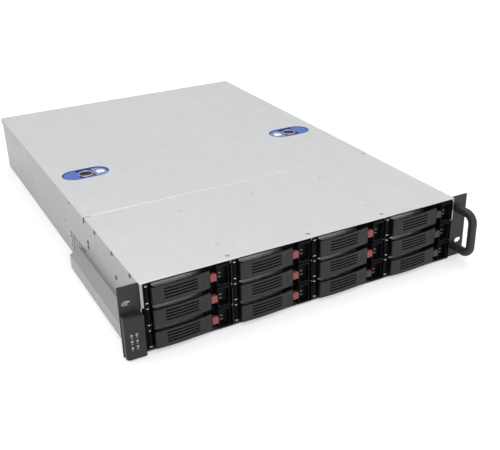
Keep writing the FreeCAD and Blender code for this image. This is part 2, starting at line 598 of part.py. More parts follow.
def make_control_panel():
    """Black plastic box on the left ear, bevelled towards the outside, bored for two buttons."""
    x0, x1 = BOX_X
    y0, y1 = EAR_Y - BOX_REACH, EAR_Y
    outline = [(x0, y1), (x0, y0 + BOX_BEVEL), (x0 + BOX_BEVEL, y0), (x1, y0), (x1, y1)]
    points = [vec(x, y, 0.6) for x, y in outline]
    box = Part.Face(Part.makePolygon(points + points[:1])).extrude(vec(0, 0, BOX_HEIGHT - 0.6))
    box = rounded(box, 1.2, lambda m, t: m.y < y0 + 0.01 and abs(t.x) > 0.9)
    bores = [rod_y(BOX_BUTTON_X, -BOX_REACH - 1, -BOX_REACH + 6.0, POWER_BUTTON_Z, 3.4),
             rod_y(BOX_BUTTON_X, -BOX_REACH - 1, -BOX_REACH + 6.0, RESET_BUTTON_Z, 2.0)]
    return [cut(box, bores)]


def make_panel_button(z, r):
    button = rod_y(BOX_BUTTON_X, -BOX_REACH - 0.3, -BOX_REACH + 3.6, z, r)
    return [rounded(button, 0.3, lambda m, t: m.y < EAR_Y - BOX_REACH - 0.25)]


def make_cable_duct():
    """A folded channel on the left wall with a sloping top face."""
    d0, d1 = DUCT_DEPTHS
    z0, z1 = DUCT_Z
    outer = -(HALF + DUCT_REACH)
    profile = [(-HALF, z0), (outer, z0), (outer, z1 - 7.0), (-HALF - 2.0, z1), (-HALF, z1)]
    inset = [(-HALF + 1, z0 + 1.2), (outer + 1.2, z0 + 1.2), (outer + 1.2, z1 - 7.8),
             (-HALF - 1.2, z1 - 1.6), (-HALF + 1, z1 - 1.6)]
    solids = []
    for outline, start, end in ((profile, d0, d1), (inset, d0 + 1.2, d1 - 1.2)):
        points = [vec(x, EAR_Y + start, z) for x, z in outline]
        solids.append(Part.Face(Part.makePolygon(points + points[:1])).extrude(vec(0, end - start, 0)))
    return [solids[0].cut(solids[1]).removeSplitter()]


def make_cover_screws():
    """Countersunk screws of the front cover and low round heads on both side walls."""
    screws = []
    for x in TOP_SCREWS_X:
        head = rod_z(x, TOP_SCREW_DEPTH, RACK_HEIGHT - SCREW_HEAD, RACK_HEIGHT - 0.05, SCREW_HEAD_R)
        screws.append(head.fuse(rod_z(x, TOP_SCREW_DEPTH, COVER_Z - 1.0, RACK_HEIGHT - SCREW_HEAD, SCREW_R)))
    for depth, z in SIDE_SCREWS:
        head = rod_x(HALF, HALF + SCREW_HEAD, depth, z, SCREW_HEAD_R)
        screws.append(head.fuse(rod_x(INNER, HALF, depth, z, SCREW_R)))
        head = rod_x(-HALF - SCREW_HEAD, -HALF, depth, z, SCREW_HEAD_R)
        screws.append(head.fuse(rod_x(-HALF, -INNER, depth, z, SCREW_R)))
    return [screw.removeSplitter() for screw in screws]


def main():
    nodes = {
        "chassis_base": make_chassis_base(),
        "front_cover": make_front_cover(),
        "rear_cover": make_rear_cover(),
        "latch_housings": make_latch_housings(),
        "latch_button_left": make_latch_button(-1),
        "latch_button_right": make_latch_button(1),
        "rack_ear_left": make_rack_ear(-1),
        "rack_ear_right": make_rack_ear(1),
        "pull_handle": make_pull_handle(),
        "control_panel": make_control_panel(),
        "power_button": make_panel_button(POWER_BUTTON_Z, 3.0),
        "reset_button": make_panel_button(RESET_BUTTON_Z, 1.6),
        "cable_duct": make_cable_duct(),
        "drive_cage": make_drive_cage(),
        "backplane": make_backplane(),
        "fan_wall": make_fan_wall(),
        "mainboard": make_mainboard(),
        "processor_heatsinks": make_processor_heatsinks(),
        "cover_screws": make_cover_screws(),
    }
    for index, x in enumerate(FAN_X, start=1):
        nodes["fan_rotor_%d" % index] = make_fan_rotor(x)
    for index, bottom in enumerate(PSU_BOTTOMS, start=1):
        nodes["power_supply_%d" % index] = make_power_supply(bottom)
    for column in range(COLUMNS):
        for row in range(ROWS):
            place = "c%dr%d" % (column + 1, row + 1)
            nodes["drive_tray_" + place] = make_drive_tray(column, row)
            nodes["tray_lever_" + place] = make_tray_lever(column, row)
            nodes["release_button_" + place] = make_release_button(column, row)

    os.makedirs("parts", exist_ok=True)
    for name, solids in nodes.items():
        shape = solids[0] if len(solids) == 1 else Part.Compound(solids)
        shape.exportStep("parts/%s.step" % name)
        print(name, len(shape.Solids), "solids, valid:", shape.isValid())


main()
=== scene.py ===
import json
import math

import bmesh
import bpy
from mathutils import Matrix, Vector
from mathutils.geometry import tessellate_polygon

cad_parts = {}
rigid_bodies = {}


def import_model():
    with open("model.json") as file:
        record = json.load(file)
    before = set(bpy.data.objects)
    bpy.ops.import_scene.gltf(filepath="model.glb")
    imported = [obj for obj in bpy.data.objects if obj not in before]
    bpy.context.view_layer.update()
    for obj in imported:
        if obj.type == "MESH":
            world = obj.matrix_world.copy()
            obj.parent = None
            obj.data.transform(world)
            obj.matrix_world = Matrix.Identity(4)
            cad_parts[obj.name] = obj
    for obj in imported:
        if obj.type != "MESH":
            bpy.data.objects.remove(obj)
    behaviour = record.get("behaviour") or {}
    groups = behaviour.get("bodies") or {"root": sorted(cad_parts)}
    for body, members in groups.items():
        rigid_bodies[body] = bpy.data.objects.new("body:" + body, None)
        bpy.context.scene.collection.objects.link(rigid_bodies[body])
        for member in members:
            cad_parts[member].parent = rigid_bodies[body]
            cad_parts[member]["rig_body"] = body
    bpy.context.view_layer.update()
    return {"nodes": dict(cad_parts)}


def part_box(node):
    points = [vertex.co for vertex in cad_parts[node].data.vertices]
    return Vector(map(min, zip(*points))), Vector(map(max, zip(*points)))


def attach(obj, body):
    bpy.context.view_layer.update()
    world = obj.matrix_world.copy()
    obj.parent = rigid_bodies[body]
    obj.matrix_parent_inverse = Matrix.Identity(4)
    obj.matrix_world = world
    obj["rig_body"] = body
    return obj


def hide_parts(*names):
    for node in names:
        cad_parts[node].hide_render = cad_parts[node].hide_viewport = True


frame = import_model()

# Shapes below are written in millimetres in the row frame and become metres in Shape.build().
MM = 0.001
COLUMNS = (1, 2, 3, 4)
ROWS = (1, 2, 3)


def place_of(column, row):
    return "c%dr%d" % (column, row)


def box_mm(node):
    low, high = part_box(node)
    return low / MM, high / MM


def frame_body(node):
    return frame["nodes"][node]["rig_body"]


# ---- Places and sizes, taken from the frame where it has them -------------------------------------------
BODY_HIGH = box_mm("chassis_base")[1]
EAR_LOW, EAR_HIGH = box_mm("rack_ear_right")
TRAY_LOW, TRAY_HIGH = box_mm("drive_tray_c1r1")
COVER_LOW, COVER_HIGH = box_mm("front_cover")
LID_LOW, LID_HIGH = box_mm("rear_cover")
HANDLE_LOW, HANDLE_HIGH = box_mm("pull_handle")
PANEL_LOW, PANEL_HIGH = box_mm("control_panel")
LATCHES_LOW, LATCHES_HIGH = box_mm("latch_housings")
EAR_Y = EAR_LOW.y                 # front face of the rack ears; depths are measured from it
EAR_HIGH_X = EAR_HIGH.x
BODY_HALF = BODY_HIGH.x
TOP_Z = COVER_HIGH.z
COVER_PLATE_Z = COVER_LOW.z       # underside of both covers' top sheets


def depth_of(y):
    return y - EAR_Y


DIMPLE_X = (-106.0, 0.0, 106.0)
DIMPLE_DEPTHS = (36.0, 145.0)
DIMPLE_R = 2.5
TOP_SCREWS_X = (-107.0, 0.0, 107.0)
TOP_SCREW_DEPTH = 6.0
SCREW_R = 2.8
# Screws of the side walls: (depth, height).
SIDE_SCREWS = ((26.0, 84.0), (86.0, 84.0), (149.0, 84.0), (78.0, 56.0), (185.0, 48.0), (185.0, 55.0),
               (296.0, 41.0), (353.0, 7.0), (478.0, 34.0), (563.0, 25.0))
DARK_SCREWS_DEPTH = 252.5         # the side screws ahead of it are dark, those behind it plain steel
LIP_SLOT = (252.5, 255.5, 81.5, 85.5)           # depths and heights of the slot in each side lip
BOARD_TOP = 10.6
# Rear ports: (X of the middle, width, height above the board).
PORT_SHELLS = ((-12.0, 16.0, 16.0), (14.0, 16.0, 14.0), (36.0, 16.0, 14.0), (72.0, 31.0, 12.5))

LATCH_LENGTH = 68.0
LATCH_WIDTH = LATCHES_HIGH.y - LATCHES_LOW.y
LATCH_X = (LATCHES_LOW.x + LATCH_LENGTH / 2, LATCHES_HIGH.x - LATCH_LENGTH / 2)
LATCH_DEPTH = depth_of((LATCHES_LOW.y + LATCHES_HIGH.y) / 2)
LATCH_FLOOR_Z = TOP_Z - 4.0
LATCH_RING_R = 10.6
LATCH_BORE_R = 9.4
LATCH_BUTTON_R = 9.0

SLOT_X = 232.55                   # half the rack standard's 465.1 mm
SLOT_HEIGHTS = (22.25, 66.7)
SLOT_LENGTH, SLOT_WIDTH = 10.3, 6.8
EAR_PLATE = 2.0
FLANGE_Z = (31.0, 44.0)           # the ears' flanges along the side walls
HANDLE_BAR = 10.5
HANDLE_BEND = 12.0                # radius of the bar's centre line at its two corners
PANEL_X = -229.0                  # X of the control box's keys; the lamps' columns count from it
POWER_Z, RESET_Z = 45.0, 36.5
LAMP_COLUMNS = (-4.5, 1.5)
LAMP_ROWS = (29.0, 21.3, 13.6)

# Places inside a drive bay, as X and Z from the low corner of its tray and depth from the ears.
HINGE = (5.0, 1.0)                # X and depth of the lever's pin
TAB_HEIGHTS = (2.4, 23.4)
TAB_SHEET = 0.8
STEM = (82.5, 13.3)               # X and Z of the release catch's stem
# Bays whose release catch takes a darker copy of the red: painted shade, where the lever's end keeps those
# catches out of the light.
SHADED_CATCHES = ((3, 3), (4, 1), (4, 2), (4, 3))


# ---- Outlines: lists of (u, v), anticlockwise, so the material lies on their left -------------------
def arc(cu, cv, r, start, end, steps):
    """Points along an arc, angles in degrees."""
    points = []
    for i in range(steps + 1):
        a = math.radians(start + (end - start) * i / steps)
        points.append((cu + r * math.cos(a), cv + r * math.sin(a)))
    return points


def rounded_rect(u0, u1, v0, v1, r, steps=5):
    if r <= 0:
        return [(u0, v0), (u1, v0), (u1, v1), (u0, v1)]
    corners = ((u1 - r, v0 + r, -90), (u1 - r, v1 - r, 0), (u0 + r, v1 - r, 90), (u0 + r, v0 + r, 180))
    points = []
    for cu, cv, start in corners:
        points += arc(cu, cv, r, start, start + 90, steps)
    return points


def obround(cu, cv, length, width, steps=12):
    r = width / 2
    half = length / 2 - r
    return arc(cu + half, cv, r, -90, 90, steps) + arc(cu - half, cv, r, 90, 270, steps)


def circle(cu, cv, r, steps=28):
    return arc(cu, cv, r, 0, 360, steps)[:-1]


def inset(outline, distance):
    """The outline moved into its material by a distance, corner by corner."""
    moved = []
    count = len(outline)
    for i, (u, v) in enumerate(outline):
        before, after = outline[i - 1], outline[(i + 1) % count]
        a = Vector((u - before[0], v - before[1])).normalized()
        b = Vector((after[0] - u, after[1] - v)).normalized()
        n1, n2 = Vector((-a.y, a.x)), Vector((-b.y, b.x))
        middle = n1 + n2
        middle = middle.normalized() if middle.length > 1e-6 else n1
        reach = distance / max(0.35, middle.dot(n1))
        moved.append((u + middle.x * reach, v + middle.y * reach))
    return moved


# ---- Ways to lay an outline (u, v) with a height w into the row frame; depths count from the ears ----
def lying(u, v, w):
    """u along X, v is a depth, w is a height."""
    return (u, EAR_Y + v, w)


def ahead(u, v, w):
    """u along X, v up, w is the reach ahead of the ears' front face."""
    return (u, EAR_Y - w, v)


def behind(u, v, w):
    """u along X, v up, w is the depth behind the ears' front face."""
    return (u, EAR_Y + w, v)


def sideways(u, v, w):
    """u is a depth, v up, w along X."""
    return (w, EAR_Y + u, v)


# ---- Shells -----------------------------------------------------------------------------------------
DRAFT = 0.3                       # how far a pit's floor is smaller than its mouth, all round
RIM_STEPS = 3                     # faces across a rounded rim


class Shape:
    """Collects closed shells in millimetres and turns them into one Blender object."""

    def __init__(self):
        self.points, self.faces = [], []
        self.paint = []               # material number of each face
        self.slot = 0                 # material number of the faces added next
        self.pit_slot = None          # the same for their pits, where it differs

    def add(self, points, faces):
        base = len(self.points)
        self.points += [Vector(p) for p in points]
        self.faces += [[base + i for i in face] for face in faces]
        self.paint += [self.slot] * len(faces)

    def rings(self, rings):
        """Joins equal rings of points into a tube, closed by flat ends."""
        n = len(rings[0])
        points = [p for ring in rings for p in ring]
        faces = []
        for k in range(len(rings) - 1):
            for i in range(n):
                j = (i + 1) % n
                faces.append([k * n + i, k * n + j, (k + 1) * n + j, (k + 1) * n + i])
        faces.append(list(range(n))[::-1])
        faces.append([(len(rings) - 1) * n + i for i in range(n)])
        self.add(points, faces)

    def prism(self, outline, low, high, lay, holes=(), pits=(), soft=0.0, soft_low=True):
        """A slab between two heights, with through holes and with pits (outline, depth) in its high side.

        Its high rims, and its low ones too unless soft_low is false, are rounded by the radius soft.
        """
        contours = [list(outline)] + [list(reversed(h)) for h in holes]
        wells = [(list(reversed(h)), depth) for h, depth in pits]
        rows = []
        r = soft if soft_low else 0.0
        for k in range(RIM_STEPS + 1 if r else 1):
            a = math.pi / 2 * k / RIM_STEPS
            rows.append((r * (1 - math.sin(a)), low + r * (1 - math.cos(a))))
        for k in range(RIM_STEPS + 1 if soft else 1):
            a = math.pi / 2 * k / RIM_STEPS
            rows.append((soft * (1 - math.cos(a)), high - soft * (1 - math.sin(a))))
        points, faces = [], []
        starts_low, starts_high = [], []
        for contour in contours:
            n = len(contour)
            base = len(points)
            for distance, height in rows:
                moved = inset(contour, distance) if distance else contour
                points += [lay(u, v, height) for u, v in moved]
            for k in range(len(rows) - 1):
                for i in range(n):
                    j = (i + 1) % n
                    lower, upper = base + k * n, base + (k + 1) * n
                    faces.append([lower + i, lower + j, upper + j, upper + i])
            starts_low.append((base, n, inset(contour, rows[0][0]) if rows[0][0] else contour))
            top = base + (len(rows) - 1) * n
            starts_high.append((top, n, inset(contour, rows[-1][0]) if rows[-1][0] else contour))
        body_faces = len(faces)
        for contour, depth in wells:
            n = len(contour)
            base = len(points)
            floor = inset(contour, -min(DRAFT, 0.25 * depth))
            points += [lay(u, v, high) for u, v in contour]
            points += [lay(u, v, high - depth) for u, v in floor]
            for i in range(n):
                j = (i + 1) % n
                faces.append([base + j, base + i, base + n + i, base + n + j])
            faces.append([base + n + i for i in range(n)])
            starts_high.append((base, n, contour))
        pit_faces = len(faces) - body_faces
        for starts, flip in ((starts_low, True), (starts_high, False)):
            flat = [[Vector((u, v, 0)) for u, v in contour] for _, _, contour in starts]
            index = [start + i for start, n, _ in starts for i in range(n)]
            for triangle in tessellate_polygon(flat):
                face = [index[i] for i in triangle]
                faces.append(face[::-1] if flip else face)
        self.add(points, faces)
        if self.pit_slot is not None:
            first = len(self.paint) - len(faces) + body_faces
            self.paint[first:first + pit_faces] = [self.pit_slot] * pit_faces

    def block(self, x0, x1, d0, d1, z0, z1, soft=0.3):
        """A box whose edges are all rounded."""
        self.prism(rounded_rect(x0, x1, d0, d1, soft, 3), z0, z1, lying, soft=soft * 0.98)

    def grid(self, xs, zs, front, back, missing, inner_slot):
        """A slab over a grid of X and Z between two depth functions, with missing cells cut through.

        Everything behind its front takes inner_slot.
        """
        nx, nz = len(xs), len(zs)
        points = [lying(x, front(x, z), z) for x in xs for z in zs]
        points += [lying(x, back(x, z), z) for x in xs for z in zs]
        here = {(i, j) for i in range(nx - 1) for j in range(nz - 1)
                if not missing((xs[i] + xs[i + 1]) / 2, (zs[j] + zs[j + 1]) / 2)}
        faces, slots = [], []
        behind_by = nx * nz
        for i, j in sorted(here):
            ring = [i * nz + j, (i + 1) * nz + j, (i + 1) * nz + j + 1, i * nz + j + 1]
            faces += [ring, [k + behind_by for k in reversed(ring)]]
            slots += [self.slot, inner_slot]
            beside = ((i, j - 1), (i + 1, j), (i, j + 1), (i - 1, j))
            for side, other in enumerate(beside):
                if other not in here:
                    a, b = ring[side], ring[(side + 1) % 4]
                    faces.append([b, a, a + behind_by, b + behind_by])
                    slots.append(inner_slot)
        used = sorted({k for face in faces for k in face})
        number = {k: n for n, k in enumerate(used)}
        self.add([points[k] for k in used], [[number[k] for k in face] for face in faces])
        self.paint[-len(slots):] = slots

    def lathe(self, profile, centre, axis="z", turns=28):
        """Turns a profile of (radius, height) about the Z or Y axis through centre."""
        rings = []
        for radius, height in profile:
            ring = []
            for i in range(turns):
                a = 2 * math.pi * i / turns
                p, q = radius * math.cos(a), radius * math.sin(a)
                offset = (p, q, height) if axis == "z" else (p, height, q)
                ring.append(Vector(centre) + Vector(offset))
            rings.append(ring)
        self.rings(rings)

    def sweep(self, path, section):
        """Carries a section (list of (a, b)) along a path in a plane of Y and Z; b lies along X."""
        rings = []
        side = Vector((1, 0, 0))
        for i, point in enumerate(path):
            before, after = path[max(i - 1, 0)], path[min(i + 1, len(path) - 1)]
            along = (Vector(after) - Vector(before)).normalized()
            out = along.cross(side).normalized()
            rings.append([Vector(point) + out * a + side * b for a, b in section])
        self.rings(rings)

    def mesh(self, name, materials, angle=38):
        """The shells as a mesh in metres, smooth but for edges sharper than angle."""
        mesh = bpy.data.meshes.new(name)
        mesh.from_pydata([p * MM for p in self.points], [], self.faces)
        for material in materials:
            mesh.materials.append(material)
        mesh.polygons.foreach_set("material_index", self.paint)
        work = bmesh.new()
        work.from_mesh(mesh)
        bmesh.ops.recalc_face_normals(work, faces=work.faces)
        for edge in work.edges:
            edge.smooth = len(edge.link_faces) == 2 and edge.calc_face_angle(0) < math.radians(angle)
        for face in work.faces:
            face.smooth = True
        work.to_mesh(mesh)
        work.free()
        return mesh

    def build(self, name, materials, body, slot, nodes=(), angle=38):
        """Makes the object and hands it to the frame."""
        return self.place(self.mesh(name, materials, angle), name, body, slot, nodes)

    @staticmethod
    def place(mesh, name, body, slot, nodes=(), at=(0, 0, 0)):
        """Makes an object of a mesh; it rides a body and stands for the CAD nodes given."""
        piece = bpy.data.objects.new(name, mesh)
        bpy.context.scene.collection.objects.link(piece)
        piece.location = Vector(at) * MM
        weights = piece.modifiers.new("even_normals", "WEIGHTED_NORMAL")
        weights.keep_sharp = True
        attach(piece, body)
        if nodes:
            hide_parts(*nodes)
        return piece


# ---- Materials --------------------------------------------------------------------------------------
class Paint:
    """A node material: a Principled shader whose colour, roughness and bump come from 3-D noise."""

    def __init__(self, name, colour, roughness, metallic=0.0, specular=0.5, coat=0.0):
        self.material = bpy.data.materials.new(name)
        self.material.use_nodes = True
        self.nodes = self.material.node_tree.nodes
        self.links = self.material.node_tree.links
        self.shader = self.nodes["Principled BSDF"]
        self.colour = colour
        self.roughness = roughness
        self.shader.inputs["Metallic"].default_value = metallic
        self.shader.inputs["Specular IOR Level"].default_value = specular
        self.shader.inputs["Coat Weight"].default_value = coat
        self.shader.inputs["Coat Roughness"].default_value = 0.25
        self.shader.inputs["Base Color"].default_value = (*colour, 1)
        self.shader.inputs["Roughness"].default_value = roughness
        self.tint = None

    def node(self, kind, **values):
        made = self.nodes.new(kind)
        for key, value in values.items():
            setattr(made, key, value)
        return made

    def coordinates(self, scale):
        """Object coordinates stretched by a scale for each axis, in repeats per metre."""
        source = self.node("ShaderNodeTexCoord")
        mapping = self.node("ShaderNodeMapping")
        mapping.inputs["Scale"].default_value = scale
        self.links.new(source.outputs["Object"], mapping.inputs["Vector"])
        return mapping.outputs["Vector"]

    def noise(self, scale, detail=2.0, rough=0.55):
        made = self.node("ShaderNodeTexNoise")
        made.inputs["Scale"].default_value = 1.0
        made.inputs["Detail"].default_value = detail
        made.inputs["Roughness"].default_value = rough
        self.links.new(self.coordinates(scale), made.inputs["Vector"])
        return made.outputs["Fac"]

    def cells(self, scale):
        made = self.node("ShaderNodeTexVoronoi")
        made.inputs["Scale"].default_value = 1.0
        self.links.new(self.coordinates(scale), made.inputs["Vector"])
        grey = self.node("ShaderNodeRGBToBW")
        self.links.new(made.outputs["Color"], grey.inputs["Color"])
        return grey.outputs["Val"]

    def spread(self, value, low, high, start=0.3, end=0.7):
        """Maps a 0..1 pattern to low..high."""
        made = self.node("ShaderNodeMapRange")
        for key, number in (("From Min", start), ("From Max", end), ("To Min", low), ("To Max", high)):
            made.inputs[key].default_value = number
        self.links.new(value, made.inputs["Value"])
        return made.outputs["Result"]

    def shade(self, value, amount, start=0.3, end=0.7):
        """Lightens and darkens the colour by a share, following a pattern."""
        factor = self.spread(value, 1 - amount, 1 + amount, start, end)
        mix = self.node("ShaderNodeVectorMath", operation="SCALE")
        if self.tint is None:
            mix.inputs[0].default_value = self.colour
        else:
            self.links.new(self.tint, mix.inputs[0])
        self.links.new(factor, mix.inputs["Scale"])
        self.tint = mix.outputs["Vector"]
        self.links.new(self.tint, self.shader.inputs["Base Color"])
        return self

    def gloss(self, value, amount):
        """Varies the roughness by an amount, following a pattern."""
        made = self.spread(value, self.roughness - amount, self.roughness + amount)
        self.links.new(made, self.shader.inputs["Roughness"])
        return self

    def bump(self, value, depth_mm, strength):
        """Raises the surface by a pattern."""
        made = self.node("ShaderNodeBump")
        made.inputs["Strength"].default_value = strength
        made.inputs["Distance"].default_value = depth_mm * MM
        self.links.new(value, made.inputs["Height"])
        self.links.new(made.outputs["Normal"], self.shader.inputs["Normal"])
        return self


def galvanised(name, colour, roughness=0.42):
    """Zinc-coated sheet: faint spangle, rolling streaks along Y and cloudy patches."""
    paint = Paint(name, colour, roughness, metallic=0.85)
    streaks = paint.noise((420, 9, 420))
    paint.shade(paint.cells((95, 70, 95)), 0.012, 0.2, 0.8)
    paint.shade(streaks, 0.014)
    paint.shade(paint.noise((7, 5, 7)), 0.01)
    paint.gloss(paint.noise((60, 14, 60), 3.0), 0.03)
    paint.bump(streaks, 0.01, 0.35)
    return paint.material


def powder_coat(name, colour, roughness=0.5):
    """Fine orange-peel paint with slightly uneven gloss."""
    paint = Paint(name, colour, roughness, specular=0.28)
    peel = paint.noise((1500, 1500, 1500))
    paint.shade(paint.noise((45, 45, 45), 3.0), 0.08)
    paint.gloss(paint.noise((220, 220, 220)), 0.06)
    paint.bump(peel, 0.05, 0.5)
    return paint.material


def moulded(name, colour, roughness=0.48, specular=0.26):
    """Injection-moulded plastic with a spark-eroded grain."""
    paint = Paint(name, colour, roughness, specular=specular)
    texture = paint.noise((2200, 2200, 2200), rough=0.6)
    paint.shade(paint.noise((30, 30, 30)), 0.06)
    paint.shade(texture, 0.07)
    paint.gloss(paint.noise((400, 400, 400)), 0.05)
    paint.bump(texture, 0.035, 0.5)
    return paint.material


def glossy(name, colour, roughness=0.22):
    """Polished plastic with a faint flow pattern."""
    paint = Paint(name, colour, roughness, specular=0.5, coat=0.2)
    paint.shade(paint.noise((90, 40, 90)), 0.07)
    paint.gloss(paint.noise((500, 500, 500)), 0.04)
    return paint.material


def machined(name, colour, roughness=0.32):
    """Plated or brushed metal for small hardware."""
    paint = Paint(name, colour, roughness, metallic=1.0)
    lines = paint.noise((900, 60, 900))
    paint.shade(lines, 0.06)
    paint.gloss(lines, 0.06)
    paint.bump(lines, 0.01, 0.3)
    return paint.material


def board(name, colour):
    """Solder resist over copper: fine traces show as a faint raised weave."""
    paint = Paint(name, colour, 0.35, specular=0.5, coat=0.15)
    traces = paint.cells((420, 90, 420))
    paint.shade(traces, 0.16, 0.2, 0.8)
    paint.shade(paint.noise((60, 60, 60)), 0.08)
    paint.bump(traces, 0.03, 0.5)
    return paint.material


# The body's steel is a darker copy of the cover's galvanised steel, not a different metal: painted shade
# for the side walls, which face away from the light. The rear cover's lips, the port shield and the inside
# parts take the same darker copy.
SHADED_STEEL = galvanised("galvanised_body_shaded", (0.36, 0.365, 0.37))
COVER_STEEL = galvanised("galvanised_cover", (0.60, 0.605, 0.61))
SUPPLY_STEEL = galvanised("supply_steel", (0.42, 0.425, 0.43), 0.4)
# The duct's steel is the same galvanised sheet made darker: painted shade, matching the shaded side wall it
# lies on.
SHADED_DUCT_STEEL = galvanised("galvanised_duct_shaded", (0.34, 0.345, 0.35))
SCREW_STEEL = machined("screw_steel", (0.45, 0.45, 0.45))
PIN_STEEL = machined("pin_steel", (0.72, 0.72, 0.72), 0.24)
DRIVE_METAL = machined("drive_metal", (0.55, 0.56, 0.57), 0.38)
FIN_METAL = machined("fin_metal", (0.68, 0.69, 0.7), 0.35)
TAB_STEEL = machined("tab_steel", (0.8, 0.8, 0.8), 0.3)
DARK_METAL = machined("dark_metal", (0.12, 0.12, 0.125), 0.4)
BLACK_PAINT = powder_coat("black_powder_coat", (0.022, 0.023, 0.024))
HANDLE_PAINT = powder_coat("handle_powder_coat", (0.022, 0.023, 0.024), 0.42)
PANEL_PLASTIC = moulded("panel_plastic", (0.021, 0.021, 0.022))
KEY_PLASTIC = moulded("key_plastic", (0.03, 0.03, 0.031), 0.4)
TRAY_PLASTIC = moulded("tray_plastic", (0.016, 0.016, 0.017))
LEVER_PLASTIC = moulded("lever_plastic", (0.019, 0.019, 0.02), 0.46)
# Near-black with little shine: painted shade for recesses, pits, holes, port openings and the insides of
# the levers.
RECESS_SHADE_BLACK = moulded("recess_painted_shade", (0.004, 0.004, 0.005), 0.5, specular=0.1)
BLUE_PLASTIC = moulded("latch_blue", (0.05, 0.1, 0.37), 0.4)
WHITE_PRINT = moulded("white_print", (0.75, 0.77, 0.8), 0.5)
ICON_PRINT = moulded("icon_print", (0.42, 0.42, 0.42), 0.5)
BUTTON_BLACK = moulded("button_black", (0.008, 0.008, 0.009), 0.4, specular=0.12)
FAN_PLASTIC = moulded("fan_plastic", (0.02, 0.02, 0.021), 0.4)
ROTOR_PLASTIC = moulded("rotor_plastic", (0.035, 0.035, 0.037), 0.35)
PIPE_PLASTIC = moulded("pipe_plastic", (0.11, 0.1, 0.1), 0.35)
LABEL_PAPER = moulded("label_paper", (0.72, 0.72, 0.7), 0.6)
RED_PLASTIC = glossy("release_red", (0.24, 0.045, 0.05), 0.35)
# A darker copy of the release red, not a different plastic: painted shade for some of the bays' catches.
SHADED_RED_PLASTIC = glossy("release_red_shaded", (0.05, 0.018, 0.02), 0.35)
LIGHT_PIPE = glossy("light_pipe", (0.2, 0.21, 0.21), 0.2)
BLUE_GREY_PLASTIC = glossy("latch_blue_grey", (0.13, 0.16, 0.32), 0.4)
LAMP_GREEN = glossy("lamp_green", (0.08, 0.5, 0.15), 0.2)
BOARD_GREEN = board("circuit_board", (0.02, 0.10, 0.045))


# ---- Front cover and rear cover ---------------------------------------------------------------------
def make_front_cover():
    """Top sheet with spot-weld dimples and a shallow pit for each of its three screws."""
    outline = rounded_rect(COVER_LOW.x, COVER_HIGH.x, depth_of(COVER_LOW.y), depth_of(COVER_HIGH.y), 0.8, 3)
    pits = [(circle(x, d, DIMPLE_R, 20), 0.55) for x in DIMPLE_X for d in DIMPLE_DEPTHS]
    pits += [(circle(x, TOP_SCREW_DEPTH, SCREW_R + 0.3, 20), 0.75) for x in TOP_SCREWS_X]
    sheet = Shape()
    sheet.prism(outline, COVER_PLATE_Z, TOP_Z, lying, pits=pits, soft=0.45, soft_low=False)
    sheet.build("front_cover_sheet", [COVER_STEEL], "chassis", "cover_steel", ["front_cover"])


def make_rear_cover():
    """Top sheet with a rolled front hem that stops short of its corners, and side and rear lips."""
    front, back = depth_of(LID_LOW.y), depth_of(LID_HIGH.y)
    left, right = LID_LOW.x, LID_HIGH.x
    hem, relief, lip, lip_top = 1.6, 10.0, 1.0, COVER_PLATE_Z + 0.5
    sheet = Shape()
    holes = [obround(x, LATCH_DEPTH, LATCH_LENGTH + 0.3, LATCH_WIDTH + 0.3) for x in LATCH_X]
    sheet.prism(rounded_rect(left, right, front + hem, back, 0.8, 3), COVER_PLATE_Z, TOP_Z, lying,
                holes=holes, soft=0.4, soft_low=False)
    sheet.prism(rounded_rect(left + relief, right - relief, front, front + hem + 0.6, 0.3, 2),
                COVER_PLATE_Z - 1.2, TOP_Z, lying, soft=1.0, soft_low=False)
    # The side and rear lips take the darker body steel, painted shade like the side walls.
    sheet.slot = 1
    slot = rounded_rect(*LIP_SLOT, 0.5, 2)
    for x0 in (left, right - lip):
        sheet.prism(rounded_rect(front + hem, back - 0.4, LID_LOW.z, lip_top, 0), x0, x0 + lip, sideways,
                    holes=[slot], soft=0.2)
    sheet.prism(rounded_rect(left + lip, right - lip, COVER_PLATE_Z - 3.2, lip_top, 0), back - lip, back,
                behind, soft=0.2)
    sheet.build("rear_cover_sheet", [COVER_STEEL, SHADED_STEEL], "cover", "cover_steel", ["rear_cover"])


